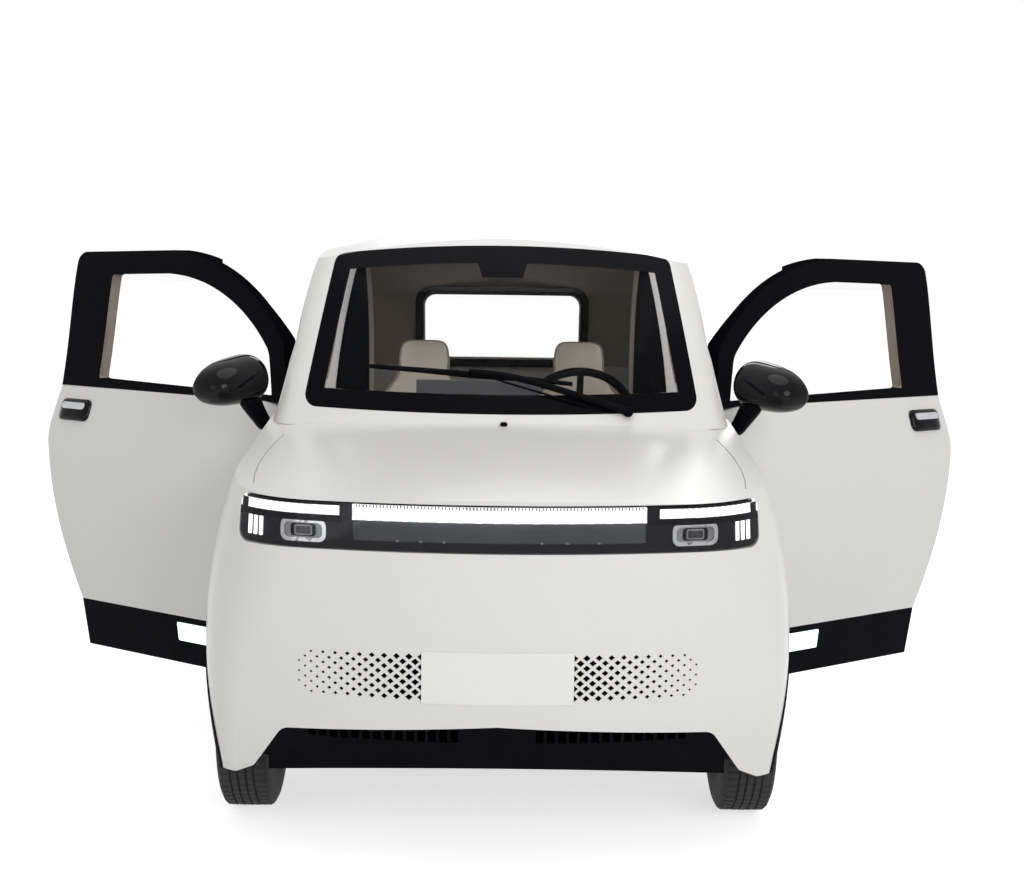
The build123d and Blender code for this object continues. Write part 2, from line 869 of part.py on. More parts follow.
# Chassis: two rails that rise over the rear axle, with cross members
with BuildPart() as chassis_frame:
    rail_bottom = floor_bottom - rail_height
    with BuildSketch(Plane.YZ.offset(rail_x - rail_width / 2)):
        with BuildLine():
            Polyline(
                (-rail_end, rail_bottom), (rail_kick_y, rail_bottom),
                (rail_kick_y + rail_kick_run, rail_bottom + rail_kick_height),
                (rail_end, rail_bottom + rail_kick_height),
                (rail_end, floor_bottom + rail_kick_height),
                (rail_kick_y + rail_kick_run - rail_height / 2, floor_bottom + rail_kick_height),
                (rail_kick_y - rail_height / 2, floor_bottom), (-rail_end, floor_bottom),
                close=True,
            )
        make_face()
    extrude(amount=rail_width)
    mirror(about=Plane.YZ)
    for y in (-rail_end, front_axle_y, rail_kick_y - 3 * rail_height):
        add(space(-rail_x, rail_x, y, y + rail_width, rail_bottom, floor_bottom))
    add(space(
        -rail_x, rail_x, rail_end - rail_width, rail_end,
        rail_bottom + rail_kick_height, floor_bottom + rail_kick_height,
    ))
    with BuildSketch(Plane.XZ.offset(rail_end)):
        with Locations((tow_hole_x, rail_bottom + rail_height / 2)):
            Circle(tow_hole_radius)
    extrude(amount=-rail_width, mode=Mode.SUBTRACT)
    with BuildSketch(Plane.XZ.offset(-rail_end)):
        with Locations((0, rail_bottom + rail_kick_height + rail_height / 2)):
            with GridLocations(carrier_pitch, 0, 2, 1):
                Circle(carrier_hole_radius)
    extrude(amount=rail_width, mode=Mode.SUBTRACT)
finish(chassis_frame.part, "chassis_frame")

# Wheel arch liners reach out to the body skin
with BuildPart() as liners:
    for axle_y in (front_axle_y, rear_axle_y):
        with BuildSketch(Plane.YZ.offset(liner_inner_x)):
            with Locations((axle_y, tyre_radius)):
                Circle(arch_radius + liner_wall)
                Circle(arch_radius, mode=Mode.SUBTRACT)
        extrude(amount=cut_half - liner_inner_x)
        with BuildSketch(Plane.YZ.offset(liner_inner_x)):
            with Locations((axle_y, tyre_radius)):
                Circle(arch_radius + liner_wall)
        extrude(amount=-liner_wall)
    add(space(
        0, cut_half, -front_reach, rear_reach, floor_top, belt_height
    ), mode=Mode.INTERSECT)
    add(lower_inner, mode=Mode.INTERSECT)
    add(space(
        0, kingpin_x, rear_axle_y - axle_slot, rear_axle_y + axle_slot, 0, tyre_radius + axle_slot
    ), mode=Mode.SUBTRACT)
    mirror(about=Plane.YZ)
finish(liners.part, "wheel_liners")

# Black lips round the wheel openings
lip_form = lower_form(-liner_wall, 0)
with BuildPart() as arch_lips:
    for axle_y in (front_axle_y, rear_axle_y):
        with BuildSketch(Plane.YZ):
            with Locations((axle_y, tyre_radius)):
                Circle(arch_radius + arch_lip)
                Circle(arch_radius, mode=Mode.SUBTRACT)
        extrude(amount=cut_half)
    add(lip_form, mode=Mode.INTERSECT)
    add(lower_outer, mode=Mode.SUBTRACT)
    add(space(0, cut_half, -front_reach, rear_reach, skirt_height, belt_height), mode=Mode.INTERSECT)
    add(door_opening, mode=Mode.SUBTRACT)
    mirror(about=Plane.YZ)
finish(arch_lips.part, "arch_lips")

# Battery box under the seats
finish(space(-battery_half, battery_half, battery_front, battery_rear, floor_top, battery_top), "battery_box")

# Seats: a cushion and a leaning back that tapers into its headrest
lean = radians(back_lean)
back_plane = Plane(
    origin=(seat_x, seat_front + seat_depth - back_wall, battery_top + cushion_wall / 2),
    x_dir=(1, 0, 0), z_dir=(0, -cos(lean), sin(lean)),
)
with BuildPart() as seat:
    with BuildSketch(back_plane):
        with BuildLine():
            Polyline(
                (0, 0), (seat_width / 2, 0), (seat_width / 2, back_full_share * back_height),
                (shoulder_half, back_height), (headrest_half, back_height),
                (headrest_half, back_height + headrest_height / 2),
                (headrest_top_half, back_height + headrest_height), (0, back_height + headrest_height),
            )
            mirror(about=Plane.YZ)
        make_face()
    extrude(amount=-back_wall)
    with BuildSketch(Plane.YZ.offset(seat_x - seat_width / 2)):
        with Locations((seat_front + seat_depth / 2, battery_top + cushion_wall / 2)):
            RectangleRounded(seat_depth, cushion_wall, seat_round)
    extrude(amount=seat_width)
finish(seat.part, "seat_left")
with BuildPart() as seat_right:
    add(seat.part)
    mirror(about=Plane.YZ, mode=Mode.REPLACE)
finish(seat_right.part, "seat_right")

# Dashboard with its display, and the column that carries the steering wheel
rake = radians(column_rake)
column_dir = (0, -cos(rake), -sin(rake))
wheel_centre = Vector(wheel_x, wheel_y, wheel_z)
column_start = wheel_centre + Vector(*column_dir) * (2 * column_radius)
column_end = wheel_centre + Vector(*column_dir) * column_length
shaft_end = column_start + Vector(*column_dir) * shaft_length
with BuildPart() as steering_column:
    add(rod(tuple(column_start), tuple(column_end), column_radius))
    add(rod(tuple(column_start), tuple(shaft_end), shaft_radius + running_gap), mode=Mode.SUBTRACT)
finish(steering_column.part, "steering_column")
with BuildPart() as dashboard:
    with BuildSketch(Plane.YZ.offset(-dash_half)):
        with BuildLine():
            Polyline(
                (bulkhead_y, dash_bottom), (bulkhead_y, bulkhead_top),
                (display_y - display_wall, dash_top), (dash_rear_y - display_wall, dash_top),
                (dash_rear_y, dash_top - display_height),
                (dash_rear_y - display_wall / 2, dash_bottom + display_height),
                (dash_rear_y - 2 * display_wall, dash_bottom), close=True,
            )
        make_face()
    extrude(amount=2 * dash_half)
    add(space(
        display_x - display_half, display_x + display_half, display_y - display_wall / 2,
        display_y + display_wall / 2, dash_top - seam, dash_top + display_height,
    ))
    add(rod(tuple(wheel_centre), tuple(column_end), column_radius), mode=Mode.SUBTRACT)
    add(front_body, mode=Mode.SUBTRACT)
finish(dashboard.part, "dashboard")

# Steering wheel: rim, three spokes, hub and the shaft in the column
wheel_plane = Plane(origin=wheel_centre, x_dir=(1, 0, 0), z_dir=column_dir)
with BuildPart() as steering_wheel:
    with BuildSketch(Plane(origin=wheel_centre, x_dir=(1, 0, 0), z_dir=wheel_plane.y_dir)):
        with Locations((wheel_rim_radius, 0)):
            Circle(wheel_grip)
    revolve(axis=Axis(wheel_centre, column_dir))
    with BuildSketch(wheel_plane):
        Circle(column_radius + wheel_grip)
    extrude(amount=column_radius)
    for turn in (0, 90, 180):
        with BuildSketch(wheel_plane):
            with Locations(Rotation(0, 0, turn)):
                with Locations((wheel_rim_radius / 2, 0)):
                    Rectangle(wheel_rim_radius, 1.6 * wheel_grip)
        extrude(amount=wheel_grip / 2)
    add(rod(tuple(wheel_centre), tuple(shaft_end - Vector(*column_dir) * shaft_end_gap), shaft_radius))
finish(steering_wheel.part, "steering_wheel")

# Pedals hanging from the bulkhead
with BuildPart() as pedals:
    for x in (wheel_x - pedal_width, wheel_x + pedal_width):
        add(space(
            x - pedal_wall, x + pedal_wall, bulkhead_y, bulkhead_y + 2 * pedal_width,
            floor_top + pedal_height, floor_top + pedal_height + 2 * pedal_wall,
        ))
        add(space(
            x - pedal_width / 2, x + pedal_width / 2, bulkhead_y + 2 * pedal_width,
            bulkhead_y + 2 * pedal_width + pedal_wall, floor_top + pedal_height / 2,
            floor_top + 1.5 * pedal_height,
        ))
finish(pedals.part, "pedals")

# Wiper: an arm from its pivot to the blade on the glass
with BuildPart() as wiper:
    lift = Vector(0, -wiper_lift, 0)
    pivot = Vector(*wiper_pivot)
    elbow = Vector(*wiper_elbow) + lift
    add(rod(tuple(pivot + lift), tuple(elbow), wiper_width / 2))
    add(rod(tuple(Vector(*wiper_left) + lift), tuple(Vector(*wiper_right) + lift), wiper_width / 2))
    add(rod(tuple(pivot - lift), tuple(pivot + 2 * lift), wiper_width))
finish(without(wiper.part, cabin_outer, lower_outer), "wiper")

# Front suspension: arms, kingpins and struts
with BuildPart() as suspension:
    low = tyre_radius - kingpin_reach
    high = tyre_radius + kingpin_reach
    rail_face = rail_x + rail_width / 2
    add(space(
        rail_face, kingpin_x, front_axle_y - arm_width / 2, front_axle_y + arm_width / 2, low, low + arm_wall
    ))
    add(rod((kingpin_x, front_axle_y, low), (kingpin_x, front_axle_y, low + arm_wall), knuckle_radius))
    for side in (-1, 1):
        y_a, y_b = sorted(
            (front_axle_y + side * knuckle_radius, front_axle_y + side * (knuckle_radius + arm_wall))
        )
        add(space(liner_inner_x, kingpin_x, y_a, y_b, high - arm_wall, high))
    add(rod((kingpin_x, front_axle_y, high - arm_wall), (kingpin_x, front_axle_y, high), knuckle_radius + arm_wall))
    add(rod((kingpin_x, front_axle_y, low), (kingpin_x, front_axle_y, high), kingpin_radius))
    add(rod(
        (strut_x, front_axle_y, low),
        (strut_x, front_axle_y, tyre_radius + sqrt(arch_radius**2 - strut_radius**2) - seam), strut_radius,
    ))
    mirror(about=Plane.YZ)
    add(chassis_frame.part, mode=Mode.SUBTRACT)
finish(suspension.part, "front_suspension")

# Steering rack with its two tie rods
with BuildPart() as rack:
    rack_y = front_axle_y + arm_length
    rack_z = tyre_radius - tie_rod_drop
    inner = rail_x - rail_width / 2
    add(rod((-inner, rack_y, rack_z), (inner, rack_y, rack_z), rack_radius))
    add(rod((-kingpin_x, rack_y, rack_z), (kingpin_x, rack_y, rack_z), tie_rod_radius))
    add(chassis_frame.part, mode=Mode.SUBTRACT)
finish(rack.part, "steering_rack")

# Front knuckles: kingpin block, spindle and steering arm
with BuildPart() as knuckle:
    low = tyre_radius - knuckle_height / 2
    add(rod((kingpin_x, front_axle_y, low), (kingpin_x, front_axle_y, low + knuckle_height), knuckle_radius))
    add(rod(
        (kingpin_x, front_axle_y, tyre_radius), (track_half + rim_disc + hub_radius, front_axle_y, tyre_radius),
        axle_radius,
    ))
    add(space(
        kingpin_x - arm_wall / 2, kingpin_x + arm_wall / 2, front_axle_y,
        front_axle_y + arm_length, tyre_radius - arm_drop - arm_wall / 2, tyre_radius - arm_drop + arm_wall / 2,
    ))
    add(rod(
        (kingpin_x, front_axle_y, low), (kingpin_x, front_axle_y, low + knuckle_height),
        kingpin_radius + running_gap,
    ), mode=Mode.SUBTRACT)
finish(knuckle.part, "knuckle_left")
with BuildPart() as knuckle_right:
    add(knuckle.part)
    mirror(about=Plane.YZ, mode=Mode.REPLACE)
finish(knuckle_right.part, "knuckle_right")

# Rear axle: beam with spindles and the drive motor
with BuildPart() as rear_axle:
    spindle_end = track_half + rim_disc + hub_radius
    beam_end = kingpin_x - knuckle_radius
    add(rod((-spindle_end, rear_axle_y, tyre_radius), (spindle_end, rear_axle_y, tyre_radius), axle_radius))
    add(rod((-beam_end, rear_axle_y, tyre_radius), (beam_end, rear_axle_y, tyre_radius), rear_beam_radius))
    add(rod(
        (-motor_length / 2, rear_axle_y, tyre_radius), (motor_length / 2, rear_axle_y, tyre_radius), motor_radius
    ))
finish(rear_axle.part, "rear_axle")

# Rear springs between the axle beam and the rails
with BuildPart() as springs:
    for side in (-1, 1):
        add(rod(
            (side * rail_x, rear_axle_y, tyre_radius),
            (side * rail_x, rear_axle_y, floor_bottom - rail_height + rail_kick_height), spring_radius,
        ))
    add(rear_axle.part, mode=Mode.SUBTRACT)
finish(springs.part, "rear_springs")

# Wheels: the same tyre and rim at four corners
def tyre_profile():
    """The tyre's section, from the bead over the tread to the other bead."""
    with BuildSketch(Plane.XY) as section:
        with BuildLine():
            Polyline(
                (0, rim_radius), (rim_width / 2, rim_radius),
                (tyre_width / 2, (rim_radius + tyre_radius) / 2),
                (tread_half + tyre_shoulder / 4, tyre_radius - tyre_shoulder / 2),
                (tread_half - tyre_shoulder / 4, tyre_radius), (0, tyre_radius),
            )
            mirror(about=Plane.YZ)
        make_face()
    return section.sketch


for name, x, y in (
    ("front_left", track_half, front_axle_y), ("front_right", -track_half, front_axle_y),
    ("rear_left", track_half, rear_axle_y), ("rear_right", -track_half, rear_axle_y),
):
    outward = 1 if x > 0 else -1
    centre = Plane(origin=(x, y, tyre_radius), x_dir=(1, 0, 0), z_dir=(0, 0, 1))
    spin = Axis((x, y, tyre_radius), (1, 0, 0))
    with BuildPart() as tyre:
        with BuildSketch(centre):
            add(tyre_profile())
        revolve(axis=spin)
    finish(tyre.part, "tyre_" + name)
    with BuildPart() as rim:
        with BuildSketch(centre):
            with Locations((0, rim_radius - rim_wall / 2)):
                Rectangle(rim_width, rim_wall)
            with Locations((outward * hub_radius / 2, hub_radius / 2)):
                Rectangle(hub_radius, hub_radius)
            with Locations((outward * hub_radius / 2, rim_radius / 2)):
                Rectangle(rim_disc, rim_radius - rim_wall)
        revolve(axis=spin)
        with BuildSketch(Plane.YZ.offset(x)):
            with Locations((y, tyre_radius)):
                with PolarLocations(rim_window_circle, 5):
                    Circle(rim_window_radius)
        extrude(amount=outward * 2 * hub_radius, mode=Mode.SUBTRACT)
        with BuildSketch(Plane.YZ.offset(x)):
            with Locations((y, tyre_radius)):
                Circle(axle_radius + running_gap)
        extrude(amount=track_half, both=True, mode=Mode.SUBTRACT)
    finish(rim.part, "rim_" + name)
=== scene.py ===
import bmesh
import bpy
from math import cos, exp, pi, radians, sin
from mathutils import Matrix, Vector
from mathutils.bvhtree import BVHTree


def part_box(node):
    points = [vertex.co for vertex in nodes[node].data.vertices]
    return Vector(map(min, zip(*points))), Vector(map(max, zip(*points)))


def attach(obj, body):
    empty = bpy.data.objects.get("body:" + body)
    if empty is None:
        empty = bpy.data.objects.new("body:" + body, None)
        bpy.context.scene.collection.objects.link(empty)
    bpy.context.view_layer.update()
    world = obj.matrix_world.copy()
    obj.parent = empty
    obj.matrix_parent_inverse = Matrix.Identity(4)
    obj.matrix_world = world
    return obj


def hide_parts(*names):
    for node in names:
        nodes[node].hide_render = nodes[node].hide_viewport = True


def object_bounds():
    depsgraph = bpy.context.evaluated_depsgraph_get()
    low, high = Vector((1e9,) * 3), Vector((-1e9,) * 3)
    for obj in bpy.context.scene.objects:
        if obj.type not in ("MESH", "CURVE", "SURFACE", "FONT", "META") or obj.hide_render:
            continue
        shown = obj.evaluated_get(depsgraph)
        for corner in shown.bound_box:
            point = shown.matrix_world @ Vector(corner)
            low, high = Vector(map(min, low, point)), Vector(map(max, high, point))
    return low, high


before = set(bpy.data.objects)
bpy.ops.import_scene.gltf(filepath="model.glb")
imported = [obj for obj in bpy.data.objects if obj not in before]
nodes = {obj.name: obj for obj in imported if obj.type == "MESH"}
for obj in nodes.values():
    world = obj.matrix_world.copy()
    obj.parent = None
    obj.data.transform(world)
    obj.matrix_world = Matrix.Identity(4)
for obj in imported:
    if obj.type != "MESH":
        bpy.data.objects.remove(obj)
cad_low, cad_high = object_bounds()

SIDES = (("left", 1), ("right", -1))
WHEELS = [(f"{end}_{side}", sign) for end in ("front", "rear") for side, sign in SIDES]
REARWARD = Vector((0, 1, 0))
DOWN = Vector((0, 0, -1))

# Camera: its place in metres, angles in degrees, lens and sensor in millimetres
CAMERA_PLACE = Vector((0.0, -4.88, 1.484))
CAMERA_PITCH = 7.27
CAMERA_ROLL = 0.75
CAMERA_YAW = -0.43
LENS = 54.3
SENSOR = 36.0

# Colours
WHITE_PAINT = (0.72, 0.718, 0.704)
BLACK_GLOSS = (0.003, 0.003, 0.004)
BLACK_TRIM = (0.004, 0.004, 0.005)
DARK_METAL = (0.03, 0.03, 0.033)
BARE_STEEL = (0.36, 0.36, 0.37)
WHEEL_SILVER = (0.45, 0.46, 0.48)
LINING = (0.34, 0.285, 0.235)
LEATHER = (0.70, 0.63, 0.54)
DASH_GREY = (0.085, 0.087, 0.09)
CARPET = (0.05, 0.05, 0.052)
RUBBER = (0.014, 0.014, 0.014)
TYRE_BLACK = (0.012, 0.0115, 0.0115)
PLATE_WHITE = (0.80, 0.80, 0.79)
TAIL_RED = (0.30, 0.012, 0.012)
LAMP_WHITE = (1.0, 1.0, 1.0)
SMOKED = (0.012, 0.012, 0.016)
CLEAR = (0.03, 0.034, 0.034)
LENS_GREY = (0.06, 0.062, 0.068)
REFLECTOR = (0.55, 0.56, 0.58)
SCREEN_DARK = (0.01, 0.012, 0.014)

# Stage: the lamps' names, places, aims, sizes and powers, in metres and watts
LAMPS = (
    ("key", (2.6, -6.0, 2.8), (0, -0.8, 0.7), 3.4, 128),
    ("fill", (-3.2, -5.4, 1.9), (0, -0.8, 0.7), 3.0, 24),
    ("top", (0.3, -0.6, 5.4), (0, -0.6, 0.8), 4.0, 70),
    ("back", (0.6, 5.5, 3.8), (0, 0.5, 0.8), 3.6, 90),
)
WORLD_LIGHT = 0.50
FLOOR_HALF = 60
FLOOR_DROP = 0.001
FLOOR_SHADES = ((0.80, 0.80, 0.80), (0.82, 0.82, 0.82))
FLOOR_GLOW = 0.66
RAMP_PLACES = (0.3, 0.7)


def coords(tree):
    """The object's own coordinates, so a pattern stays with its piece."""
    return tree.nodes.new("ShaderNodeTexCoord").outputs["Object"]


def noise(tree, scale, detail=3.0):
    texture = tree.nodes.new("ShaderNodeTexNoise")
    texture.inputs["Scale"].default_value = scale
    texture.inputs["Detail"].default_value = detail
    tree.links.new(coords(tree), texture.inputs["Vector"])
    return texture.outputs["Fac"]


def cells(tree, scale):
    texture = tree.nodes.new("ShaderNodeTexVoronoi")
    texture.feature = "DISTANCE_TO_EDGE"
    texture.inputs["Scale"].default_value = scale
    tree.links.new(coords(tree), texture.inputs["Vector"])
    return texture.outputs["Distance"]


def ramp(tree, factor, *colors):
    node = tree.nodes.new("ShaderNodeValToRGB")
    for element, place, color in zip(node.color_ramp.elements, RAMP_PLACES, colors):
        element.position = place
        element.color = (*color, 1)
    tree.links.new(factor, node.inputs["Fac"])
    return node.outputs["Color"]


def spread(tree, factor, low, high):
    """A value between low and high that follows the factor."""
    node = tree.nodes.new("ShaderNodeMapRange")
    node.inputs["To Min"].default_value = low
    node.inputs["To Max"].default_value = high
    tree.links.new(factor, node.inputs["Value"])
    return node.outputs["Result"]


def bump(tree, shader, height, distance, strength=1.0):
    """Adds a relief to the shader, on top of one that is there."""
    node = tree.nodes.new("ShaderNodeBump")
    node.inputs["Strength"].default_value = strength
    node.inputs["Distance"].default_value = distance
    socket = shader.inputs["Normal"]
    if socket.links:
        tree.links.new(socket.links[0].from_socket, node.inputs["Normal"])
    tree.links.new(height, node.inputs["Height"])
    tree.links.new(node.outputs["Normal"], socket)


def scaled(color, share):
    return tuple(min(1.0, channel * share) for channel in color)


def finish_of(name, color, rough, vary=0.06, vary_scale=6.0, grain=400.0, grain_depth=0.00005,
              rough_vary=0.06, pattern="noise", **sockets):
    """A moulded or painted surface: broad colour variation, uneven roughness and a fine grain."""
    material = bpy.data.materials.new(name)
    material.use_nodes = True
    tree = material.node_tree
    shader = tree.nodes["Principled BSDF"]
    for socket, value in sockets.items():
        shader.inputs[socket.replace("_", " ")].default_value = value
    broad = noise(tree, vary_scale)
    tree.links.new(ramp(tree, broad, scaled(color, 1 - vary), scaled(color, 1 + vary)),
                   shader.inputs["Base Color"])
    tree.links.new(spread(tree, noise(tree, 3 * vary_scale), rough - rough_vary, rough + rough_vary),
                   shader.inputs["Roughness"])
    fine = cells(tree, grain) if pattern == "cells" else noise(tree, grain, 2.0)
    bump(tree, shader, fine, grain_depth)
    return material


def weave_of(name, color, pitch):
    """A woven or brushed cloth."""
    material = finish_of(name, color, 0.9, vary=0.04, vary_scale=14.0, grain=900.0, Sheen_Weight=0.2)
    tree = material.node_tree
    shader = tree.nodes["Principled BSDF"]
    for direction in ("X", "Z"):
        wave = tree.nodes.new("ShaderNodeTexWave")
        wave.bands_direction = direction
        wave.inputs["Scale"].default_value = 1 / (pitch * 20 / pi)
        wave.inputs["Distortion"].default_value = 1.5
        tree.links.new(coords(tree), wave.inputs["Vector"])
        bump(tree, shader, wave.outputs["Fac"], 0.0002, 0.6)
    return material


def see_through(name, color, alpha, rough=0.02):
    material = finish_of(name, color, rough + 0.01, vary=0.02, grain=3.0, grain_depth=0.0004,
                         rough_vary=0.01, Alpha=alpha)
    material.node_tree.nodes["Principled BSDF"].inputs["IOR"].default_value = 1.5
    return material


def glowing(name, color, strength):
    material = finish_of(name, color, 0.3, vary=0.02, grain=60.0)
    tree = material.node_tree
    shader = tree.nodes["Principled BSDF"]
    shader.inputs["Emission Color"].default_value = (*color, 1)
    tree.links.new(spread(tree, noise(tree, 80.0), 0.9 * strength, 1.1 * strength),
                   shader.inputs["Emission Strength"])
    return material


materials = {
    "paint": finish_of("white_paint", WHITE_PAINT, 0.34, vary=0.012, vary_scale=2.5, grain=260.0,
                       grain_depth=0.00002, Specular_IOR_Level=0.35, Coat_Weight=0.35,
                       Coat_Roughness=0.2),
    "black_gloss": finish_of("black_gloss", BLACK_GLOSS, 0.16, vary=0.2, grain=120.0,
                             grain_depth=0.00002, rough_vary=0.03, Specular_IOR_Level=0.03),
    "black_trim": finish_of("black_trim", BLACK_TRIM, 0.5, vary=0.25, vary_scale=12, grain=900.0,
                            grain_depth=0.0001, pattern="cells", Specular_IOR_Level=0.02),
    "dark_metal": finish_of("dark_metal", DARK_METAL, 0.45, vary=0.25, vary_scale=14, grain=300.0),
    "steel": finish_of("bare_steel", BARE_STEEL, 0.36, vary=0.12, vary_scale=30, grain=500.0, Metallic=1.0),
    "silver": finish_of("wheel_silver", WHEEL_SILVER, 0.32, vary=0.06, grain=500.0, Metallic=0.9),
    "chrome": finish_of("chrome", (0.75, 0.76, 0.78), 0.09, vary=0.04, rough_vary=0.03, Metallic=1.0),
    "lining": weave_of("lining_cloth", LINING, 0.0016),
    "leather": finish_of("seat_leather", LEATHER, 0.5, vary=0.05, vary_scale=7, grain=420.0,
                         grain_depth=0.00022, pattern="cells", Sheen_Weight=0.15),
    # Painted shade: a grey for the bonnet's shut lines, which also stand in for the shade along its edge
    # crease
    "seam": finish_of("panel_gap", (0.30, 0.30, 0.30), 0.7, vary=0.15, Specular_IOR_Level=0.1),
    "piping": finish_of("seat_piping", scaled(LEATHER, 0.45), 0.55, vary=0.1, grain=600.0),
    "dash": finish_of("dash_plastic", DASH_GREY, 0.6, vary=0.10, vary_scale=8, grain=700.0,
                      grain_depth=0.00015, pattern="cells"),
    "carpet": weave_of("floor_carpet", CARPET, 0.003),
    "rubber": finish_of("seal_rubber", RUBBER, 0.7, vary=0.2, grain=500.0),
    "tyre": finish_of("tyre_rubber", TYRE_BLACK, 0.78, vary=0.22, vary_scale=16, grain=600.0,
                      grain_depth=0.00012),
    "plate": finish_of("plate_white", PLATE_WHITE, 0.4, vary=0.012, grain=300.0, grain_depth=0.00003),
    "tail": finish_of("tail_red", TAIL_RED, 0.1, vary=0.15, vary_scale=20, grain=150.0, Coat_Weight=1.0),
    "light": glowing("lamp_white", LAMP_WHITE, 1.5),
    "marker": glowing("marker_white", (0.85, 1.0, 0.93), 0.9),
    "reflector": finish_of("reflector", REFLECTOR, 0.3, vary=0.10, vary_scale=40, Metallic=0.8),
    "lens": finish_of("lamp_lens", LENS_GREY, 0.12, vary=0.2, vary_scale=60, Coat_Weight=0.8),
    "screen": finish_of("display_glass", SCREEN_DARK, 0.15, vary=0.2, Coat_Weight=0.5),
    "smoked": see_through("smoked_cover", SMOKED, 0.30),
    "glass": see_through("clear_glass", CLEAR, 0.025),
    "mirror_shell": finish_of("mirror_shell", BLACK_GLOSS, 0.07, vary=0.2, grain=120.0,
                              grain_depth=0.00001, rough_vary=0.02, Specular_IOR_Level=0.14),
    "mirror_glass": finish_of("mirror_glass", (0.85, 0.87, 0.88), 0.04, vary=0.02, rough_vary=0.01,
                              Metallic=1.0),
    # Painted light: the jambs' body paint is made lighter than the body's own paint, so that their shaded
    # faces read white
    "jamb_paint_painted_light": finish_of("jamb_paint_painted_light", (0.93, 0.93, 0.92), 0.4, vary=0.03, vary_scale=5),
    "frame_edge": finish_of("frame_edge", BLACK_TRIM, 0.85, vary=0.25, vary_scale=12, grain=500.0,
                            grain_depth=0.0001, pattern="cells", Specular_IOR_Level=0.0),
    "housing_grey": finish_of("housing_grey", (0.15, 0.16, 0.175), 0.45, vary=0.25, vary_scale=5, grain=200.0,
                              Specular_IOR_Level=0.2),
}

PAINTED = {
    "paint": ("front_body", "rear_body", "cabin_shell", "front_grilles"),
    "black_gloss": ("lamp_housing", "windscreen_band"),
    "black_trim": ("sill_trims", "front_valance", "rear_valance", "wheel_liners", "arch_lips",
                   "steering_wheel", "wiper"),
    "dark_metal": ("hinge_posts", "chassis_frame", "battery_box", "steering_column", "pedals",
                   "front_suspension", "rear_axle", "knuckle_left", "knuckle_right"),
    "steel": ("steering_rack", "rear_springs"),
    "chrome": ("headlamp_rings",),
    "lining": ("cabin_lining",),
    "dash": ("dashboard",),
    "carpet": ("floor_tub",),
    "rubber": ("rear_window_seal",),
    "plate": ("front_plate_panel", "rear_plate_panel"),
    "tail": ("tail_lamp_bar",),
    "light": ("light_strips",),
    "smoked": ("lamp_cover",),
    "glass": ("windscreen", "rear_window"),
    "leather": ("seat_left", "seat_right"),
}
DOOR_PAINTED = {
    "panel": "paint", "lining": "lining", "trim": "black_trim", "frame": "black_gloss",
    "glass": "glass", "handle": "black_gloss", "mirror": "black_gloss",
}


def coat(mesh, kind):
    mesh.materials.clear()
    mesh.materials.append(materials[kind])


def dress_nodes():
    for kind, names in PAINTED.items():
        for name in names:
            coat(nodes[name].data, kind)
    for side, sign in SIDES:
        for part, kind in DOOR_PAINTED.items():
            coat(nodes[f"door_{part}_{side}"].data, kind)
    for wheel, sign in WHEELS:
        coat(nodes["rim_" + wheel].data, "silver")
        coat(nodes["tyre_" + wheel].data, "tyre")


def new_object(name, data):
    thing = bpy.data.objects.new(name, data)
    bpy.context.scene.collection.objects.link(thing)
    return thing


def mesh_object(name, build, kind, body, smooth=True):
    """Makes an object from a bmesh that build fills in."""
    mesh = bpy.data.meshes.new(name)
    shape = bmesh.new()
    build(shape)
    bmesh.ops.recalc_face_normals(shape, faces=shape.faces)
    shape.to_mesh(mesh)
    shape.free()
    piece = new_object(name, mesh)
    mesh.materials.append(materials[kind])
    mesh.polygons.foreach_set("use_smooth", [smooth] * len(mesh.polygons))
    if body:
        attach(piece, body)
    return piece


def make_camera():
    data = bpy.data.cameras.new("camera")
    data.lens = LENS
    data.sensor_width = SENSOR
    camera = new_object("camera", data)
    pitch, yaw, roll = radians(CAMERA_PITCH), radians(CAMERA_YAW), radians(CAMERA_ROLL)
    forward = Vector((-sin(yaw) * cos(pitch), cos(yaw) * cos(pitch), -sin(pitch)))
    level = Vector((cos(yaw), sin(yaw), 0))
    upward = level.cross(forward)
    right = cos(roll) * level + sin(roll) * upward
    up = cos(roll) * upward - sin(roll) * level
    turn = Matrix((right, up, -forward)).transposed()
    camera.matrix_world = Matrix.Translation(CAMERA_PLACE) @ turn.to_4x4()
    bpy.context.scene.camera = camera


def direct_rays(tree):
    """1 where the camera sees a surface itself, in a reflection or through glass."""
    path = tree.nodes.new("ShaderNodeLightPath")
    total = path.outputs["Is Camera Ray"]
    for name in ("Is Glossy Ray", "Is Transmission Ray"):
        add = tree.nodes.new("ShaderNodeMath")
        add.operation = "MAXIMUM"
        tree.links.new(total, add.inputs[0])
        tree.links.new(path.outputs[name], add.inputs[1])
        total = add.outputs["Value"]
    return total


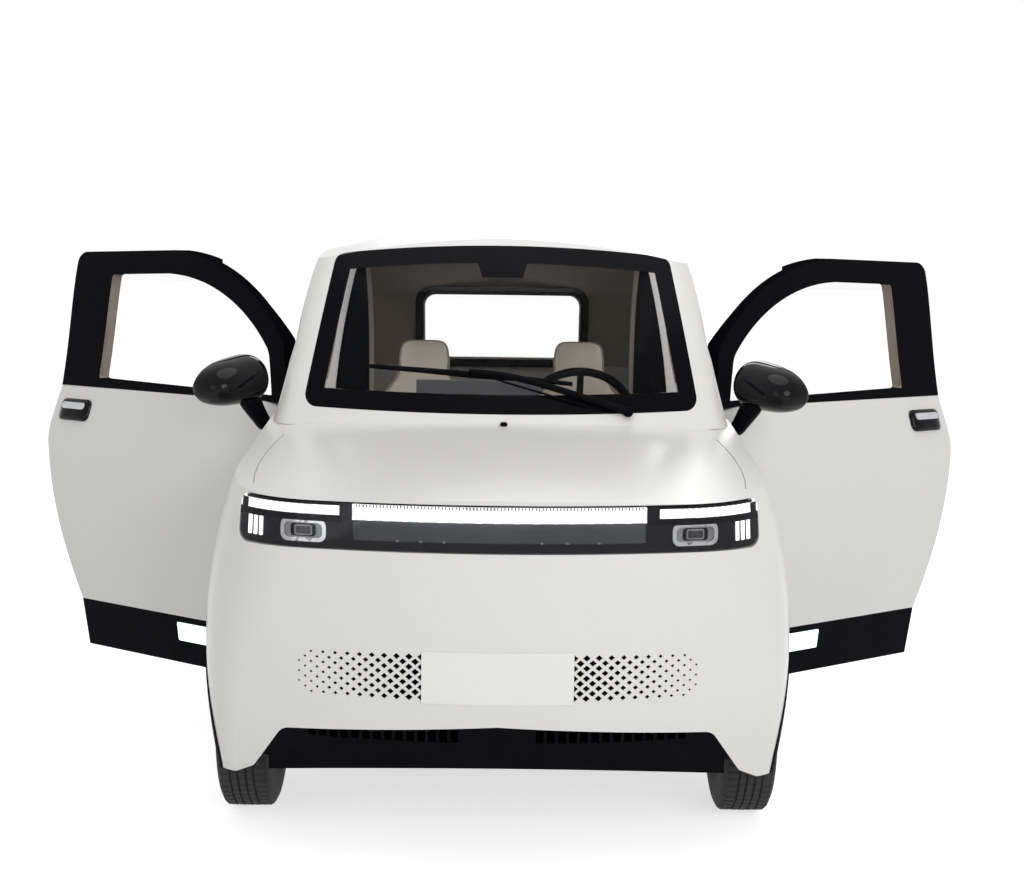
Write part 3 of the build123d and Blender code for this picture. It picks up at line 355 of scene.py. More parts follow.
def make_stage():
    """A pale floor, a white surround and soft lamps."""
    world = bpy.data.worlds.new("studio")
    bpy.context.scene.world = world
    world.use_nodes = True
    tree = world.node_tree
    soft = tree.nodes["Background"]
    seen = tree.nodes.new("ShaderNodeBackground")
    for background, strength in ((soft, WORLD_LIGHT), (seen, 1.0)):
        background.inputs["Color"].default_value = (1.0, 1.0, 1.0, 1)
        background.inputs["Strength"].default_value = strength
    mix = tree.nodes.new("ShaderNodeMixShader")
    tree.links.new(direct_rays(tree), mix.inputs["Fac"])
    tree.links.new(soft.outputs["Background"], mix.inputs[1])
    tree.links.new(seen.outputs["Background"], mix.inputs[2])
    tree.links.new(mix.outputs["Shader"], tree.nodes["World Output"].inputs["Surface"])

    floor_mesh = bpy.data.meshes.new("floor")
    shape = bmesh.new()
    bmesh.ops.create_grid(shape, x_segments=1, y_segments=1, size=FLOOR_HALF)
    shape.to_mesh(floor_mesh)
    shape.free()
    floor = new_object("floor", floor_mesh)
    floor.location = (0, 0, cad_low.z - FLOOR_DROP)
    material = bpy.data.materials.new("pale_floor")
    material.use_nodes = True
    tree = material.node_tree
    shader = tree.nodes["Principled BSDF"]
    shader.inputs["Roughness"].default_value = 0.9
    shader.inputs["Specular IOR Level"].default_value = 0.1
    tree.links.new(ramp(tree, noise(tree, 0.7), *FLOOR_SHADES), shader.inputs["Base Color"])
    shader.inputs["Emission Color"].default_value = (1, 1, 1, 1)
    tree.links.new(spread(tree, direct_rays(tree), 0.0, FLOOR_GLOW), shader.inputs["Emission Strength"])
    floor_mesh.materials.append(material)

    for name, place, aim, size, power in LAMPS:
        data = bpy.data.lights.new(name, "AREA")
        data.shape = "DISK"
        data.size = size
        data.energy = power
        lamp = new_object(name, data)
        lamp.location = place
        lamp.rotation_euler = (Vector(aim) - Vector(place)).to_track_quat("-Z", "Y").to_euler()
    bpy.context.scene.view_settings.view_transform = "Standard"


def steps(start, end, count):
    return [start + (end - start) * k / (count - 1) for k in range(count)]


def turns(count):
    """A full turn in equal angles."""
    return [2 * pi * k / count for k in range(count)]


def between(pair, share):
    return pair[0] + (pair[1] - pair[0]) * share


def signed_power(value, power):
    return (1 if value > 0 else -1) * abs(value) ** power


def divided(points, parts=6):
    """The points with more between them, each stretch in equal parts."""
    path = [Vector(first).lerp(Vector(second), share) for first, second in zip(points, points[1:])
            for share in steps(0, 1, parts + 1)[:-1]]
    return path + [Vector(points[-1])]


def eased(path, rounds):
    """The path with its corners rounded off and its ends kept."""
    for _ in range(rounds):
        path = [path[0]] + [(path[k - 1] + path[k] * 2 + path[k + 1]) / 4
                            for k in range(1, len(path) - 1)] + [path[-1]]
    return path


def block(shape, place, size):
    bmesh.ops.create_cube(shape, size=1.0, matrix=Matrix.Translation(place) @ Matrix.Diagonal((*size, 1)))


def cone(shape, sides, size, place, turn):
    """A cone's stump from its two radii and its depth."""
    bmesh.ops.create_cone(shape, cap_ends=True, segments=sides, radius1=size[0], radius2=size[1],
                          depth=size[2], matrix=Matrix.Translation(place) @ turn)


def bevelled(shape, edges, offset, segments):
    bmesh.ops.bevel(shape, geom=edges, offset=offset, segments=segments, affect="EDGES")


def loft(shape, rings, closed=False):
    """A skin over rings of points, with a face at each end or the last ring joined to the first."""
    rings = [[shape.verts.new(point) for point in ring] for ring in rings]
    for ring, after in zip(rings, rings[1:] + rings[:1] if closed else rings[1:]):
        for k in range(len(ring)):
            n = (k + 1) % len(ring)
            shape.faces.new((ring[k], ring[n], after[n], after[k]))
    if not closed:
        shape.faces.new(rings[0])
        shape.faces.new(list(reversed(rings[-1])))


def tube(shape, path, radius, sides):
    """A round tube along a path of points. Its radius is one number, or a list with one for each point."""
    radii = radius if isinstance(radius, list) else [radius] * len(path)
    rings = []
    for k, size in enumerate(radii):
        along = (path[min(k + 1, len(path) - 1)] - path[max(k - 1, 0)]).normalized()
        across = (across - along * across.dot(along) if rings else along.orthogonal()).normalized()
        other = along.cross(across)
        rings.append([path[k] + size * (across * cos(turn) + other * sin(turn)) for turn in turns(sides)])
    loft(shape, rings)


# Tyres, as shares of their own half width and radius, from the bead over the tread
SIDEWALL_SHARES = ((0.80, 0.612), (0.90, 0.63), (0.985, 0.72), (1.0, 0.80), (0.985, 0.88), (0.95, 0.94))
TREAD_EDGE_SHARE = 0.80
GROOVE_PLACES = (-0.55, -0.19, 0.19, 0.55)
GROOVE_WIDTH = 0.0062
GROOVE_DEPTH = 0.006
TREAD_BLOCKS = 66
STEPS_PER_BLOCK = 4
SHOULDER_SHARES = (0.87, 0.982)
CROWN_FALL_SHARE = 0.004
# A groove's section, as shares of its width and depth
GROOVE_SHARES = ((-0.5, 0), (-0.3, 1), (0.3, 1), (0.5, 0))
# The cross cuts' depths in the outer and the inner ribs, metres
OUTER_CUT = 0.004
INNER_CUT = 0.0025
TREAD_CREASE = 35


def tread_profile(half, radius):
    """The tyre's section as (x, r, rib) rows, where rib tells the tread's ribs apart."""
    shoulder, shoulder_radius = half * SHOULDER_SHARES[0], radius * SHOULDER_SHARES[1]
    edge, edge_radius = half * TREAD_EDGE_SHARE, radius * (1 - CROWN_FALL_SHARE)
    last = len(GROOVE_PLACES) + 1
    rows = [(-half * x, radius * r, 0) for x, r in SIDEWALL_SHARES]
    rows += [(-shoulder, shoulder_radius, 1), (-edge, edge_radius, 1)]
    for number, share in enumerate(GROOVE_PLACES):
        crown = radius * (1 - CROWN_FALL_SHARE * share ** 2)
        for away, deep in GROOVE_SHARES:
            rib = 0 if deep else number + (1 if away < 0 else 2)
            rows.append((edge * share + away * GROOVE_WIDTH, crown - deep * GROOVE_DEPTH, rib))
    rows += [(edge, edge_radius, last), (shoulder, shoulder_radius, last)]
    rows.extend((half * x, radius * r, 0) for x, r in reversed(SIDEWALL_SHARES))
    return rows


def make_tyre(wheel):
    """A road tyre with four grooves round it and cross cuts in its ribs."""
    low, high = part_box("tyre_" + wheel)
    centre = (low + high) / 2
    rows = tread_profile((high.x - low.x) / 2, (high.z - low.z) / 2)
    count = TREAD_BLOCKS * STEPS_PER_BLOCK

    def build(shape):
        rings = []
        for step, angle in enumerate(turns(count)):
            ring = []
            for x, r, rib in rows:
                outer = rib in (1, len(GROOVE_PLACES) + 1)
                cut = rib and (step + (0 if outer else STEPS_PER_BLOCK // 2)) % STEPS_PER_BLOCK == 0
                if cut:
                    r -= OUTER_CUT if outer else INNER_CUT
                ring.append(centre + Vector((x, r * sin(angle), r * cos(angle))))
            rings.append(ring)
        loft(shape, rings, closed=True)

    tyre = mesh_object("tyre_tread_" + wheel, build, "tyre", "wheel_" + wheel)
    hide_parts("tyre_" + wheel)
    crease = tyre.modifiers.new("edges", "EDGE_SPLIT")
    crease.split_angle = radians(TREAD_CREASE)


# The doors' hinge and angle, and places to look at a skin from, metres
HINGE = Vector((0.724, -0.455, 0.0))
DOOR_OPEN = radians(57)
CABIN_X = 0.2
OUTSIDE_X = 1.2
AHEAD_Y = -2.0
ABOVE_Z = 1.4


def surface(*names):
    """The surface of some CAD nodes, to lay pieces on."""
    points, faces = [], []
    for name in names:
        mesh = nodes[name].data
        start = len(points)
        points.extend(vertex.co.copy() for vertex in mesh.vertices)
        faces.extend([start + corner for corner in face.vertices] for face in mesh.polygons)
    return BVHTree.FromPolygons(points, faces)


def door_spot(side, x, y, z):
    """A place given for the closed left door, on the open door of that side."""
    turned = Matrix.Rotation(-DOOR_OPEN, 3, "Z") @ (Vector((x, y, z)) - HINGE) + HINGE
    return turned if side == "left" else Vector((-turned.x, turned.y, turned.z))


def closed_place(side, point):
    """Where a point of an open door lies on the closed left door."""
    turned = point if side == "left" else Vector((-point.x, point.y, point.z))
    return Matrix.Rotation(DOOR_OPEN, 3, "Z") @ (turned - HINGE) + HINGE


def door_way(side, x, y):
    """A direction given for the closed left door, on the open door of that side."""
    return door_spot(side, x, y, 0) - door_spot(side, 0, 0, 0)


def door_skin(side, tree, y, z, lift, inside=False):
    """A point on the door's skin at that place of the closed door, lifted off it."""
    near, far = (CABIN_X, OUTSIDE_X) if inside else (OUTSIDE_X, CABIN_X)
    start = door_spot(side, near, y, z)
    towards = (door_spot(side, far, y, z) - start).normalized()
    found = tree.ray_cast(start, towards)[0]
    return None if found is None else found - towards * lift


def front_skin(tree, x, z, lift):
    """A point on a skin seen from the front, lifted off it."""
    found = tree.ray_cast(Vector((x, AHEAD_Y, z)), REARWARD)[0]
    return None if found is None else found - REARWARD * lift


def grid_piece(name, rows, wall, kind):
    """A thin plate on the body through rows of points, with its wall behind them."""
    def build(shape):
        fronts = [[shape.verts.new(point) for point in row] for row in rows]
        backs = [[shape.verts.new(point + REARWARD * wall) for point in row] for row in rows]
        tall, wide = len(rows), len(rows[0])
        for i in range(tall - 1):
            for j in range(wide - 1):
                shape.faces.new((fronts[i][j], fronts[i][j + 1], fronts[i + 1][j + 1], fronts[i + 1][j]))
                shape.faces.new((backs[i][j], backs[i + 1][j], backs[i + 1][j + 1], backs[i][j + 1]))
        rim = ([(0, j) for j in range(wide)] + [(i, wide - 1) for i in range(1, tall)]
               + [(tall - 1, j) for j in range(wide - 2, -1, -1)] + [(i, 0) for i in range(tall - 2, 0, -1)])
        for k in range(len(rim)):
            (a, b), (c, d) = rim[k], rim[(k + 1) % len(rim)]
            shape.faces.new((fronts[a][b], backs[a][b], backs[c][d], fronts[c][d]))
    mesh_object(name, build, kind, "body", smooth=False)


def hits(points):
    """The points that met a skin."""
    return [point for point in points if point is not None]


def subdivided(piece, levels):
    modifier = piece.modifiers.new("subdivision", "SUBSURF")
    modifier.levels = modifier.render_levels = levels


def rounded(half_wide, half_tall, radius, count=6):
    """A rounded rectangle's outline about the origin."""
    points = []
    for cx, cy, turn in ((1, 1, 0), (-1, 1, 90), (-1, -1, 180), (1, -1, 270)):
        for k in range(count):
            angle = radians(turn + 90 * k / (count - 1))
            points.append((cx * (half_wide - radius) + radius * cos(angle),
                           cy * (half_tall - radius) + radius * sin(angle)))
    return points


def patch(place, count=6):
    """A rounded outline from its middle, its half sizes and its corner."""
    middle_u, middle_v, half_u, half_v, corner = place
    return [(middle_u + u, middle_v + v) for u, v in rounded(half_u, half_v, corner, count)]


def skin_plate(name, outline, place, wall, push, kind, body, levels=3, smooth=False):
    """A plate whose outline lies on a skin: place turns outline points into points on it."""
    def build(shape):
        centre_u = sum(u for u, v in outline) / len(outline)
        centre_v = sum(v for u, v in outline) / len(outline)
        shares = [1 - level / levels for level in range(levels)]
        rings = [[shape.verts.new(place(centre_u + (u - centre_u) * share, centre_v + (v - centre_v) * share))
                  for u, v in outline] for share in shares]
        hub = shape.verts.new(place(centre_u, centre_v))
        back = [shape.verts.new(vertex.co + push * wall) for vertex in rings[0]]
        count = len(outline)
        for k in range(count):
            n = (k + 1) % count
            for level in range(levels - 1):
                shape.faces.new((rings[level][k], rings[level][n], rings[level + 1][n], rings[level + 1][k]))
            shape.faces.new((rings[-1][k], rings[-1][n], hub))
            shape.faces.new((rings[0][k], back[k], back[n], rings[0][n]))
        shape.faces.new(back)
    return mesh_object(name, build, kind, body, smooth)


# Lamp bar details, metres
TEETH = 84
TEETH_HALF_RUN = 0.338
TEETH_HEIGHT = 0.881
TEETH_LIFT = 0.0012
TEETH_RISE = 0.0005
TOOTH = (0.0028, 0.002, 0.0065)
PROJECTOR = (0.467, 0.818)
# Headlamp plates: name, half sizes, corner, depth behind the cover, wall, material and slot
LAMP_PLATES = (
    ("reflector", 0.0475, 0.0190, 0.0180, 0.0085, 0.002, "reflector", "chrome"),
    ("lamp_recess", 0.0310, 0.0150, 0.0075, 0.0072, 0.001, "black_gloss", "black_gloss"),
    ("lamp_bezel", 0.0215, 0.0120, 0.0045, 0.0064, 0.0006, "reflector", "chrome"),
    ("lamp_lens", 0.0185, 0.0092, 0.0035, 0.0058, 0.0005, "lens", "black_gloss"),
)
# Plates under the middle strip: name, half run, lowest, highest, depth, columns, rows and material
RECESS_PLATES = (
    ("lamp_recess", 0.346, 0.799, 0.850, 0.013, 41, 5, "housing_grey"),
    ("lamp_ledge", 0.20, 0.7935, 0.7995, 0.0125, 21, 2, "black_trim"),
)
RECESS_WALL = 0.002
# Dark gaps round the outer strips: name, start and end across, lowest and highest
STRIP_GAPS = (("under", 0.372, 0.6335, 0.8410, 0.8575), ("top", 0.372, 0.630, 0.8800, 0.8865),
              ("end", 0.612, 0.6335, 0.8560, 0.8790))
GAP_DEPTH = 0.0035
GAP_WALL = 0.001
GAP_COLUMNS = 21
GLINTS = (-0.24, -0.185, -0.13, 0.10, 0.16, 0.235)
GLINT_HEIGHT = 0.801
GLINT_DEPTH = 0.0085
GLINT_RADIUS = 0.0034
SEAL_HALF_RUN = 0.626
SEAL_HEIGHT = 0.8885
SEAL_BEND = 0.61
SEAL_DROP = 0.003
SEAL_RADIUS = 0.0018


def make_lamp_details():
    """Teeth along the middle strip, and a reflector with its lens in each headlamp ring."""
    strips = surface("light_strips")
    cover = surface("lamp_cover")

    def build_teeth(shape):
        for x in steps(-TEETH_HALF_RUN, TEETH_HALF_RUN, TEETH):
            point = front_skin(strips, x, TEETH_HEIGHT, TEETH_LIFT)
            block(shape, point + Vector((0, 0, TEETH_RISE)), TOOTH)

    mesh_object("strip_teeth", build_teeth, "lens", "body", smooth=False)
    for side, sign in SIDES:
        for name, half_wide, half_tall, corner, depth, wall, kind, slot in LAMP_PLATES:
            skin_plate(f"{name}_{side}", rounded(half_wide, half_tall, corner),
                       lambda u, v: front_skin(cover, sign * PROJECTOR[0] + u, PROJECTOR[1] + v, -depth),
                       wall, REARWARD, kind, "body")


def make_lamp_housing():
    """The grey recess under the middle strip, the gaps round the outer strips and the cover's seal."""
    cover = surface("lamp_cover")
    for name, half, low, high, depth, columns, count, kind in RECESS_PLATES:
        rows = [[front_skin(cover, x, z, -depth) for x in steps(-half, half, columns)]
                for z in steps(low, high, count)]
        grid_piece(name, rows, RECESS_WALL, kind)

    def build_glints(shape):
        for x in GLINTS:
            point = front_skin(cover, x, GLINT_HEIGHT, -GLINT_DEPTH)
            bmesh.ops.create_icosphere(shape, subdivisions=2, radius=GLINT_RADIUS,
                                       matrix=Matrix.Translation(point))
    mesh_object("lamp_glints", build_glints, "reflector", "body")
    for side, sign in SIDES:
        for name, start, end, low, high in STRIP_GAPS:
            columns = [[front_skin(cover, sign * x, z, -GAP_DEPTH) for z in (low, high)]
                       for x in steps(start, end, GAP_COLUMNS)]
            rows = list(zip(*[column for column in columns if None not in column]))
            grid_piece(f"strip_{name}_gap_{side}", rows, GAP_WALL, "black_trim")
    path = hits(front_skin(cover, x, SEAL_HEIGHT - (SEAL_DROP if abs(x) > SEAL_BEND else 0), 0.0)
                for x in steps(-SEAL_HALF_RUN, SEAL_HALF_RUN, 61))

    def build_seal(shape):
        tube(shape, path, SEAL_RADIUS, 6)
    mesh_object("lamp_cover_seal", build_seal, "black_trim", "body")


# Black sheets behind the front's holes, as painted shade inside them, metres: name, half width, lowest,
# highest, depth and rows
HOLE_SHADE_SHEETS = (("grille_hole_shade", 0.50, 0.395, 0.558, 0.046, 4), ("louvre_hole_shade", 0.49, 0.300, 0.352, 0.075, 2))
SHADE_SHEET_WALL = 0.003
NOSE_PLACE = -1.332
NOSE_RADIUS = 1.9


def make_hole_shades():
    # Each sheet is painted shade: black behind the holes so that they look dark
    for name, half, low, high, depth, count in HOLE_SHADE_SHEETS:
        middle = NOSE_PLACE + NOSE_RADIUS + depth
        rows = [[Vector((x, middle - (NOSE_RADIUS ** 2 - x * x) ** 0.5, z)) for x in steps(-half, half, 21)]
                for z in steps(low, high, count)]
        grid_piece(name, rows, SHADE_SHEET_WALL, "black_trim")


# Mirrors on the closed left door, metres: inner and outer end, front and back, the middle's height and the
# half height at those ends, then the arm's places with the radius there
MIRROR_X = (0.7405, 0.9455)
MIRROR_Y = (-0.559, -0.449)
MIRROR_Z = (1.112, 1.094)
MIRROR_HALF = (0.073, 0.054)
MIRROR_ARM = ((0.790, -0.504, 1.072, 0.040), (0.764, -0.506, 1.034, 0.034), (0.732, -0.509, 0.994, 0.027),
              (0.708, -0.511, 0.966, 0.027))
MIRROR_STEPS = 22
MIRROR_SIDES = 36
# How blunt the head's ends are, and the back rim's depth, powers along and up, and share below its middle
MIRROR_ENDS = (8.0, 2.7)
RIM_DEPTH = 0.030
RIM_POWERS = (0.35, 0.5)
LOWER_SHARE = 0.9
ARM_SIDES = 16
ARM_SHARES = (0.9, 0.75, 0.35)
# The glass: its middle and half length along the head, its share of the height, its corners and its place
GLASS_SPAN = (0.46, 0.38)
GLASS_SHARE = 0.80
GLASS_POWERS = (0.6, 0.7)
GLASS_SIDES = 32
GLASS_LIFT = 0.0015
GLASS_WALL = 0.004


def mirror_section(side, t):
    """The head's outline at a share of its length, on the open door."""
    power = MIRROR_ENDS[0] if t < 0.5 else MIRROR_ENDS[1]
    size = (1 - abs(2 * t - 1) ** power) ** (1 / power)
    half = between(MIRROR_HALF, t ** 2) * size
    seam = MIRROR_Y[1] - RIM_DEPTH
    ring = []
    for angle in turns(MIRROR_SIDES):
        along, up = cos(angle), sin(angle)
        if along < 0:
            y = seam + along * (seam - MIRROR_Y[0]) * size
        else:
            y = seam + along ** RIM_POWERS[0] * (MIRROR_Y[1] - seam)
            up = signed_power(up, RIM_POWERS[1])
        z = between(MIRROR_Z, t) + up * half * (1 if up > 0 else LOWER_SHARE)
        ring.append(door_spot(side, between(MIRROR_X, t), y, z))
    return ring


def arm_section(side, x, y, z, radius):
    ring = []
    for angle in turns(ARM_SIDES):
        across, along = radius * cos(angle), radius * sin(angle)
        ring.append(door_spot(side, x + ARM_SHARES[0] * across, y + ARM_SHARES[1] * along,
                              z - ARM_SHARES[2] * across))
    return ring


def make_mirrors():
    """The mirror's egg-shaped head, its glass and its arm, turned out with the door."""
    outline = []
    for angle in turns(GLASS_SIDES):
        t = GLASS_SPAN[0] + GLASS_SPAN[1] * signed_power(cos(angle), GLASS_POWERS[0])
        rise = between(MIRROR_HALF, t ** 2) * GLASS_SHARE * signed_power(sin(angle), GLASS_POWERS[1])
        outline.append((between(MIRROR_X, t), between(MIRROR_Z, t) + rise))
    for side, sign in SIDES:
        body = "door_" + side

        def build_head(shape):
            shares = [(1 - cos(pi * k / MIRROR_STEPS)) / 2 for k in range(1, MIRROR_STEPS)]
            loft(shape, [mirror_section(side, t) for t in shares])

        def build_arm(shape):
            loft(shape, [arm_section(side, *place) for place in MIRROR_ARM])
        head = mesh_object("mirror_head_" + side, build_head, "mirror_shell", body)
        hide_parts("door_mirror_" + side)
        arm = mesh_object("mirror_arm_" + side, build_arm, "black_gloss", body)
        subdivided(arm, 2)
        skin_plate("mirror_glass_" + side, outline,
                   lambda u, v: door_spot(side, u, MIRROR_Y[1] + GLASS_LIFT, v), GLASS_WALL,
                   door_way(side, 0, -1), "mirror_glass", body, levels=1)


# Wiper, metres: places on the screen with the radius there
WIPER_BLADE = ((-0.365, -0.604, 1.160, 0.006), (-0.20, -0.620, 1.150, 0.008), (-0.085, -0.634, 1.142, 0.010),
               (0.05, -0.650, 1.134, 0.008), (0.195, -0.655, 1.121, 0.006))
WIPER_ARM = ((0.348, -0.685, 1.049, 0.011), (0.250, -0.676, 1.079, 0.010), (0.120, -0.664, 1.118, 0.009),
             (0.000, -0.652, 1.146, 0.009), (-0.090, -0.644, 1.150, 0.008))
WIPER_HOSE = ((0.235, -0.684, 1.062, 0.003), (0.130, -0.676, 1.092, 0.003), (0.020, -0.660, 1.121, 0.003),
              (-0.040, -0.648, 1.140, 0.003))
WIPER_CAP = (0.348, -0.684, 1.049)
WIPER_CAP_SIZE = (0.016, 0.012, 0.026)
WIPER_CAP_ROUND = 0.003


def make_wiper():
    for name, table in (("wiper_blade", WIPER_BLADE), ("wiper_arm", WIPER_ARM), ("wiper_hose", WIPER_HOSE)):
        def build(shape):
            path = eased(divided(table), 8)
            tube(shape, [Vector(point[:3]) for point in path], [point[3] for point in path], 10)
        piece = mesh_object(name, build, "black_trim", "body")
        if name == "wiper_blade":
            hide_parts("wiper")

    def build_cap(shape):
        cone(shape, 24, WIPER_CAP_SIZE, WIPER_CAP, Matrix.Rotation(pi / 2, 4, "X"))
        bevelled(shape, [e for e in shape.edges if e.calc_face_angle(0) > 0.8], WIPER_CAP_ROUND, 2)
    mesh_object("wiper_cap", build_cap, "black_trim", "body")


# The rear window's inner frame, metres: height of its middle, half sizes, width, corners and half its wall
REAR_FRAME = (1.186, 0.305, 0.126, 0.030)
REAR_CORNERS = (0.04, 0.06)
REAR_HALF_WALL = 0.004
SEATS_Y = 0.6
WINDOW_Y = 1.15


def make_rear_frame():
    lining = surface("cabin_lining", "rear_window_seal")
    middle_z, half_wide, half_tall, width = REAR_FRAME
    inner = rounded(half_wide, half_tall, REAR_CORNERS[0], 8)
    outer = rounded(half_wide + width, half_tall + width, REAR_CORNERS[1], 8)
    sections = []
    for (a, b), (c, d) in zip(inner, outer):
        section = []
        for share in (0, 0.5, 1):
            x, z = between((a, c), share), middle_z + between((b, d), share)
            found = lining.ray_cast(Vector((x, SEATS_Y, z)), REARWARD)[0]
            section.append((x, found.y if found else WINDOW_Y, z))
        sections.append(section)
    level = sorted(section[2][1] for section in sections)[len(sections) // 2]

    def build(shape):
        rings = []
        for section in sections:
            front = [(x, min(y, level) - REAR_HALF_WALL, z) for x, y, z in section]
            back = [(x, min(y, level) + REAR_HALF_WALL, z) for x, y, z in section]
            rings.append(front + back[::-1])
        loft(shape, rings, closed=True)
    mesh_object("rear_window_frame", build, "black_trim", "body", smooth=False)


# The valance's lower lip, metres
VALANCE_LOW = 0.247
VALANCE_DROP = 0.034
VALANCE_HALF = 0.560
VALANCE_RISES = (0.008, 0.020)
VALANCE_OVERLAP = 0.010
VALANCE_INSET = 0.001
VALANCE_WALL = 0.006


def make_valance_lip():
    """The valance's lower lip, deeper towards the wheels."""
    skin = surface("front_valance")
    rows = [[], []]
    for x in steps(-VALANCE_HALF, VALANCE_HALF, 41):
        found = hits(front_skin(skin, x, VALANCE_LOW + rise, -VALANCE_INSET) for rise in VALANCE_RISES)
        if found:
            low = VALANCE_LOW - VALANCE_DROP * (x / VALANCE_HALF) ** 2
            rows[0].append(Vector((x, found[0].y, low)))
            rows[1].append(Vector((x, found[0].y, VALANCE_LOW + VALANCE_OVERLAP)))
    grid_piece("valance_lip", rows, VALANCE_WALL, "black_trim")


# The chassis frame's front ends, metres
CHASSIS_FRONT = -1.10
CHASSIS_TOP = 0.30
CHASSIS_LIFT = 0.055


def make_chassis():
    """The chassis frame with its front ends swept up behind the valance."""
    mesh = nodes["chassis_frame"].data.copy()
    mesh.name = "chassis_swept"
    for vertex in mesh.vertices:
        if vertex.co.y < CHASSIS_FRONT and vertex.co.z < CHASSIS_TOP:
            vertex.co.z += CHASSIS_LIFT
    swept = new_object("chassis_swept", mesh)
    coat(mesh, "dark_metal")
    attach(swept, "body")
    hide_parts("chassis_frame")


# The bonnet's shut lines, grey lines that also paint the shade along the bonnet's edge crease, metres: across
# and along, seen from above
BONNET_LINE = ((0.585, -0.735), (0.600, -0.80), (0.612, -0.88), (0.618, -0.96), (0.616, -1.04),
               (0.606, -1.12))
LINE_RADIUS = 0.0012
NOZZLE = (0.008, -0.745)
NOZZLE_SIZE = (0.020, 0.022, 0.010)
NOZZLE_RISE = 0.004
NOZZLE_ROUND = 0.003


def make_bonnet_lines():
    # Grey lines laid on the bonnet: shut lines, and painted shade of its edge crease
    skin = surface("front_body")
    for side, sign in SIDES:
        path = hits(skin.ray_cast(Vector((sign * x, y, ABOVE_Z)), DOWN)[0]
                    for x, y in divided(BONNET_LINE)[:-1])

        def build(shape):
            tube(shape, path, LINE_RADIUS, 6)
        mesh_object("bonnet_line_" + side, build, "seam", "body")


def make_nozzle():
    skin = surface("front_body", "cabin_shell")
    base = skin.ray_cast(Vector((*NOZZLE, ABOVE_Z)), DOWN)[0]

    def build(shape):
        block(shape, base + Vector((0, 0, NOZZLE_RISE)), NOZZLE_SIZE)
        bevelled(shape, list(shape.edges), NOZZLE_ROUND, 2)
    mesh_object("washer_nozzle", build, "black_trim", "body")


# Pieces on the closed door, metres: middle along and up, half sizes and corner, then lifts and walls
DOOR_MARKER = (-0.2325, 0.326, 0.0675, 0.029, 0.004)
MARKER_LIFT = 0.0012
HANDLE = (0.334, 0.962, 0.066, 0.033, 0.019)
HANDLE_LIFT = 0.004
HANDLE_CROWN = 0.012
HANDLE_WALL = 0.006
HANDLE_FLAP = (0.334, 0.976, 0.050, 0.010, 0.009)
FLAP_LIFT = 0.0170
FLAP_WALL = 0.004
# Trims inside the door: name, the same five sizes, reach, edge, material and slot
DOOR_TRIMS = (
    ("door_armrest_", (-0.02, 0.735, 0.215, 0.026, 0.024), 0.042, 0.003, "leather", "lining_beige"),
    ("door_pull_", (-0.255, 0.850, 0.050, 0.017, 0.012), 0.012, 0.003, "reflector", "chrome"),
    ("door_pocket_", (-0.03, 0.500, 0.26, 0.055, 0.030), 0.020, 0.003, "dash", "lining_beige"),
    ("door_switch_0_", (-0.150, 0.785, 0.016, 0.010, 0.004), 0.005, 0.002, "black_trim", "black_trim"),
    ("door_switch_1_", (-0.105, 0.785, 0.016, 0.010, 0.004), 0.005, 0.002, "black_trim", "black_trim"),
)
TRIM_SEAT = 0.001


def crown(place, u, v, power_u, power_v):
    """1 in the middle of a rounded plate, falling to 0 at its edges."""
    middle_u, middle_v, half_u, half_v, corner = place
    return (1 - abs((u - middle_u) / half_u) ** power_u) * (1 - abs((v - middle_v) / half_v) ** power_v)


def make_door_details():
    for side, sign in SIDES:
        trim = surface("door_trim_" + side)
        panel = surface("door_panel_" + side)
        inward = door_way(side, -1, 0)
        body = "door_" + side
        skin_plate("door_marker_" + side, patch(DOOR_MARKER, 3),
                   lambda u, v: door_skin(side, trim, u, v, MARKER_LIFT), MARKER_LIFT, inward,
                   "marker", body)

        def grip_place(u, v):
            return door_skin(side, panel, u, v, HANDLE_LIFT + HANDLE_CROWN * crown(HANDLE, u, v, 4, 4))
        grip = skin_plate("handle_grip_" + side, patch(HANDLE), grip_place, HANDLE_WALL, inward,
                          "mirror_shell", body, levels=6, smooth=True)
        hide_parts("door_handle_" + side)
        skin_plate("handle_flap_" + side, patch(HANDLE_FLAP),
                   lambda u, v: door_skin(side, panel, u, v, FLAP_LIFT), FLAP_WALL, inward,
                   "reflector", body)


def make_door_inside():
    """Trims on the doors' inner faces, bowed out towards the cabin."""
    for side, sign in SIDES:
        lining = surface("door_lining_" + side)
        for name, place, reach, edge, kind, slot in DOOR_TRIMS:
            def bowed(u, v):
                lift = edge + reach * max(crown(place, u, v, 6, 4), 0)
                return door_skin(side, lining, u, v, lift, inside=True)
            skin_plate(name + side, patch(place), bowed, edge + TRIM_SEAT, door_way(side, 1, 0), kind,
                       "door_" + side, levels=7, smooth=True)


# Seats, metres: half widths and heights along the leaning back
SEAT_X = 0.262
SEAT_BACK_BASE = (0.175, 0.505)
SEAT_LEAN = 14
SEAT_BACK_SHAPE = ((0.198, 0.02), (0.202, 0.20), (0.196, 0.40), (0.172, 0.475), (0.140, 0.53), (0.108, 0.565),
                   (0.093, 0.60), (0.092, 0.65), (0.080, 0.695), (0.056, 0.708))
SEAT_BACK_WALL = 0.080
SEAT_BACK_INSET = 0.012
SEAT_BACK_ROUND = 0.018
CUSHION = (0.402, 0.440, 0.092)
CUSHION_PLACE = (0.040, 0.503)
CUSHION_ROUND = 0.028
VOXEL = 0.009
PRESSURE = 4.0
SWELL_FRAMES = 20
SWELL_CAP = 0.012
# Sewn channels: their places and, in each pair, width and depth
CHANNEL = (0.006, 0.009)
BACK_CHANNEL_X = 0.115
BACK_SEAM_HEIGHT = 0.575
BACK_SEAM = (0.005, 0.007)
CUSHION_CHANNEL_X = 0.125
CUSHION_SEAM_Y = -0.045
CUSHION_SEAM = (0.005, 0.006)
PIPING_BEHIND = 0.006
PIPING_RADIUS = 0.0032


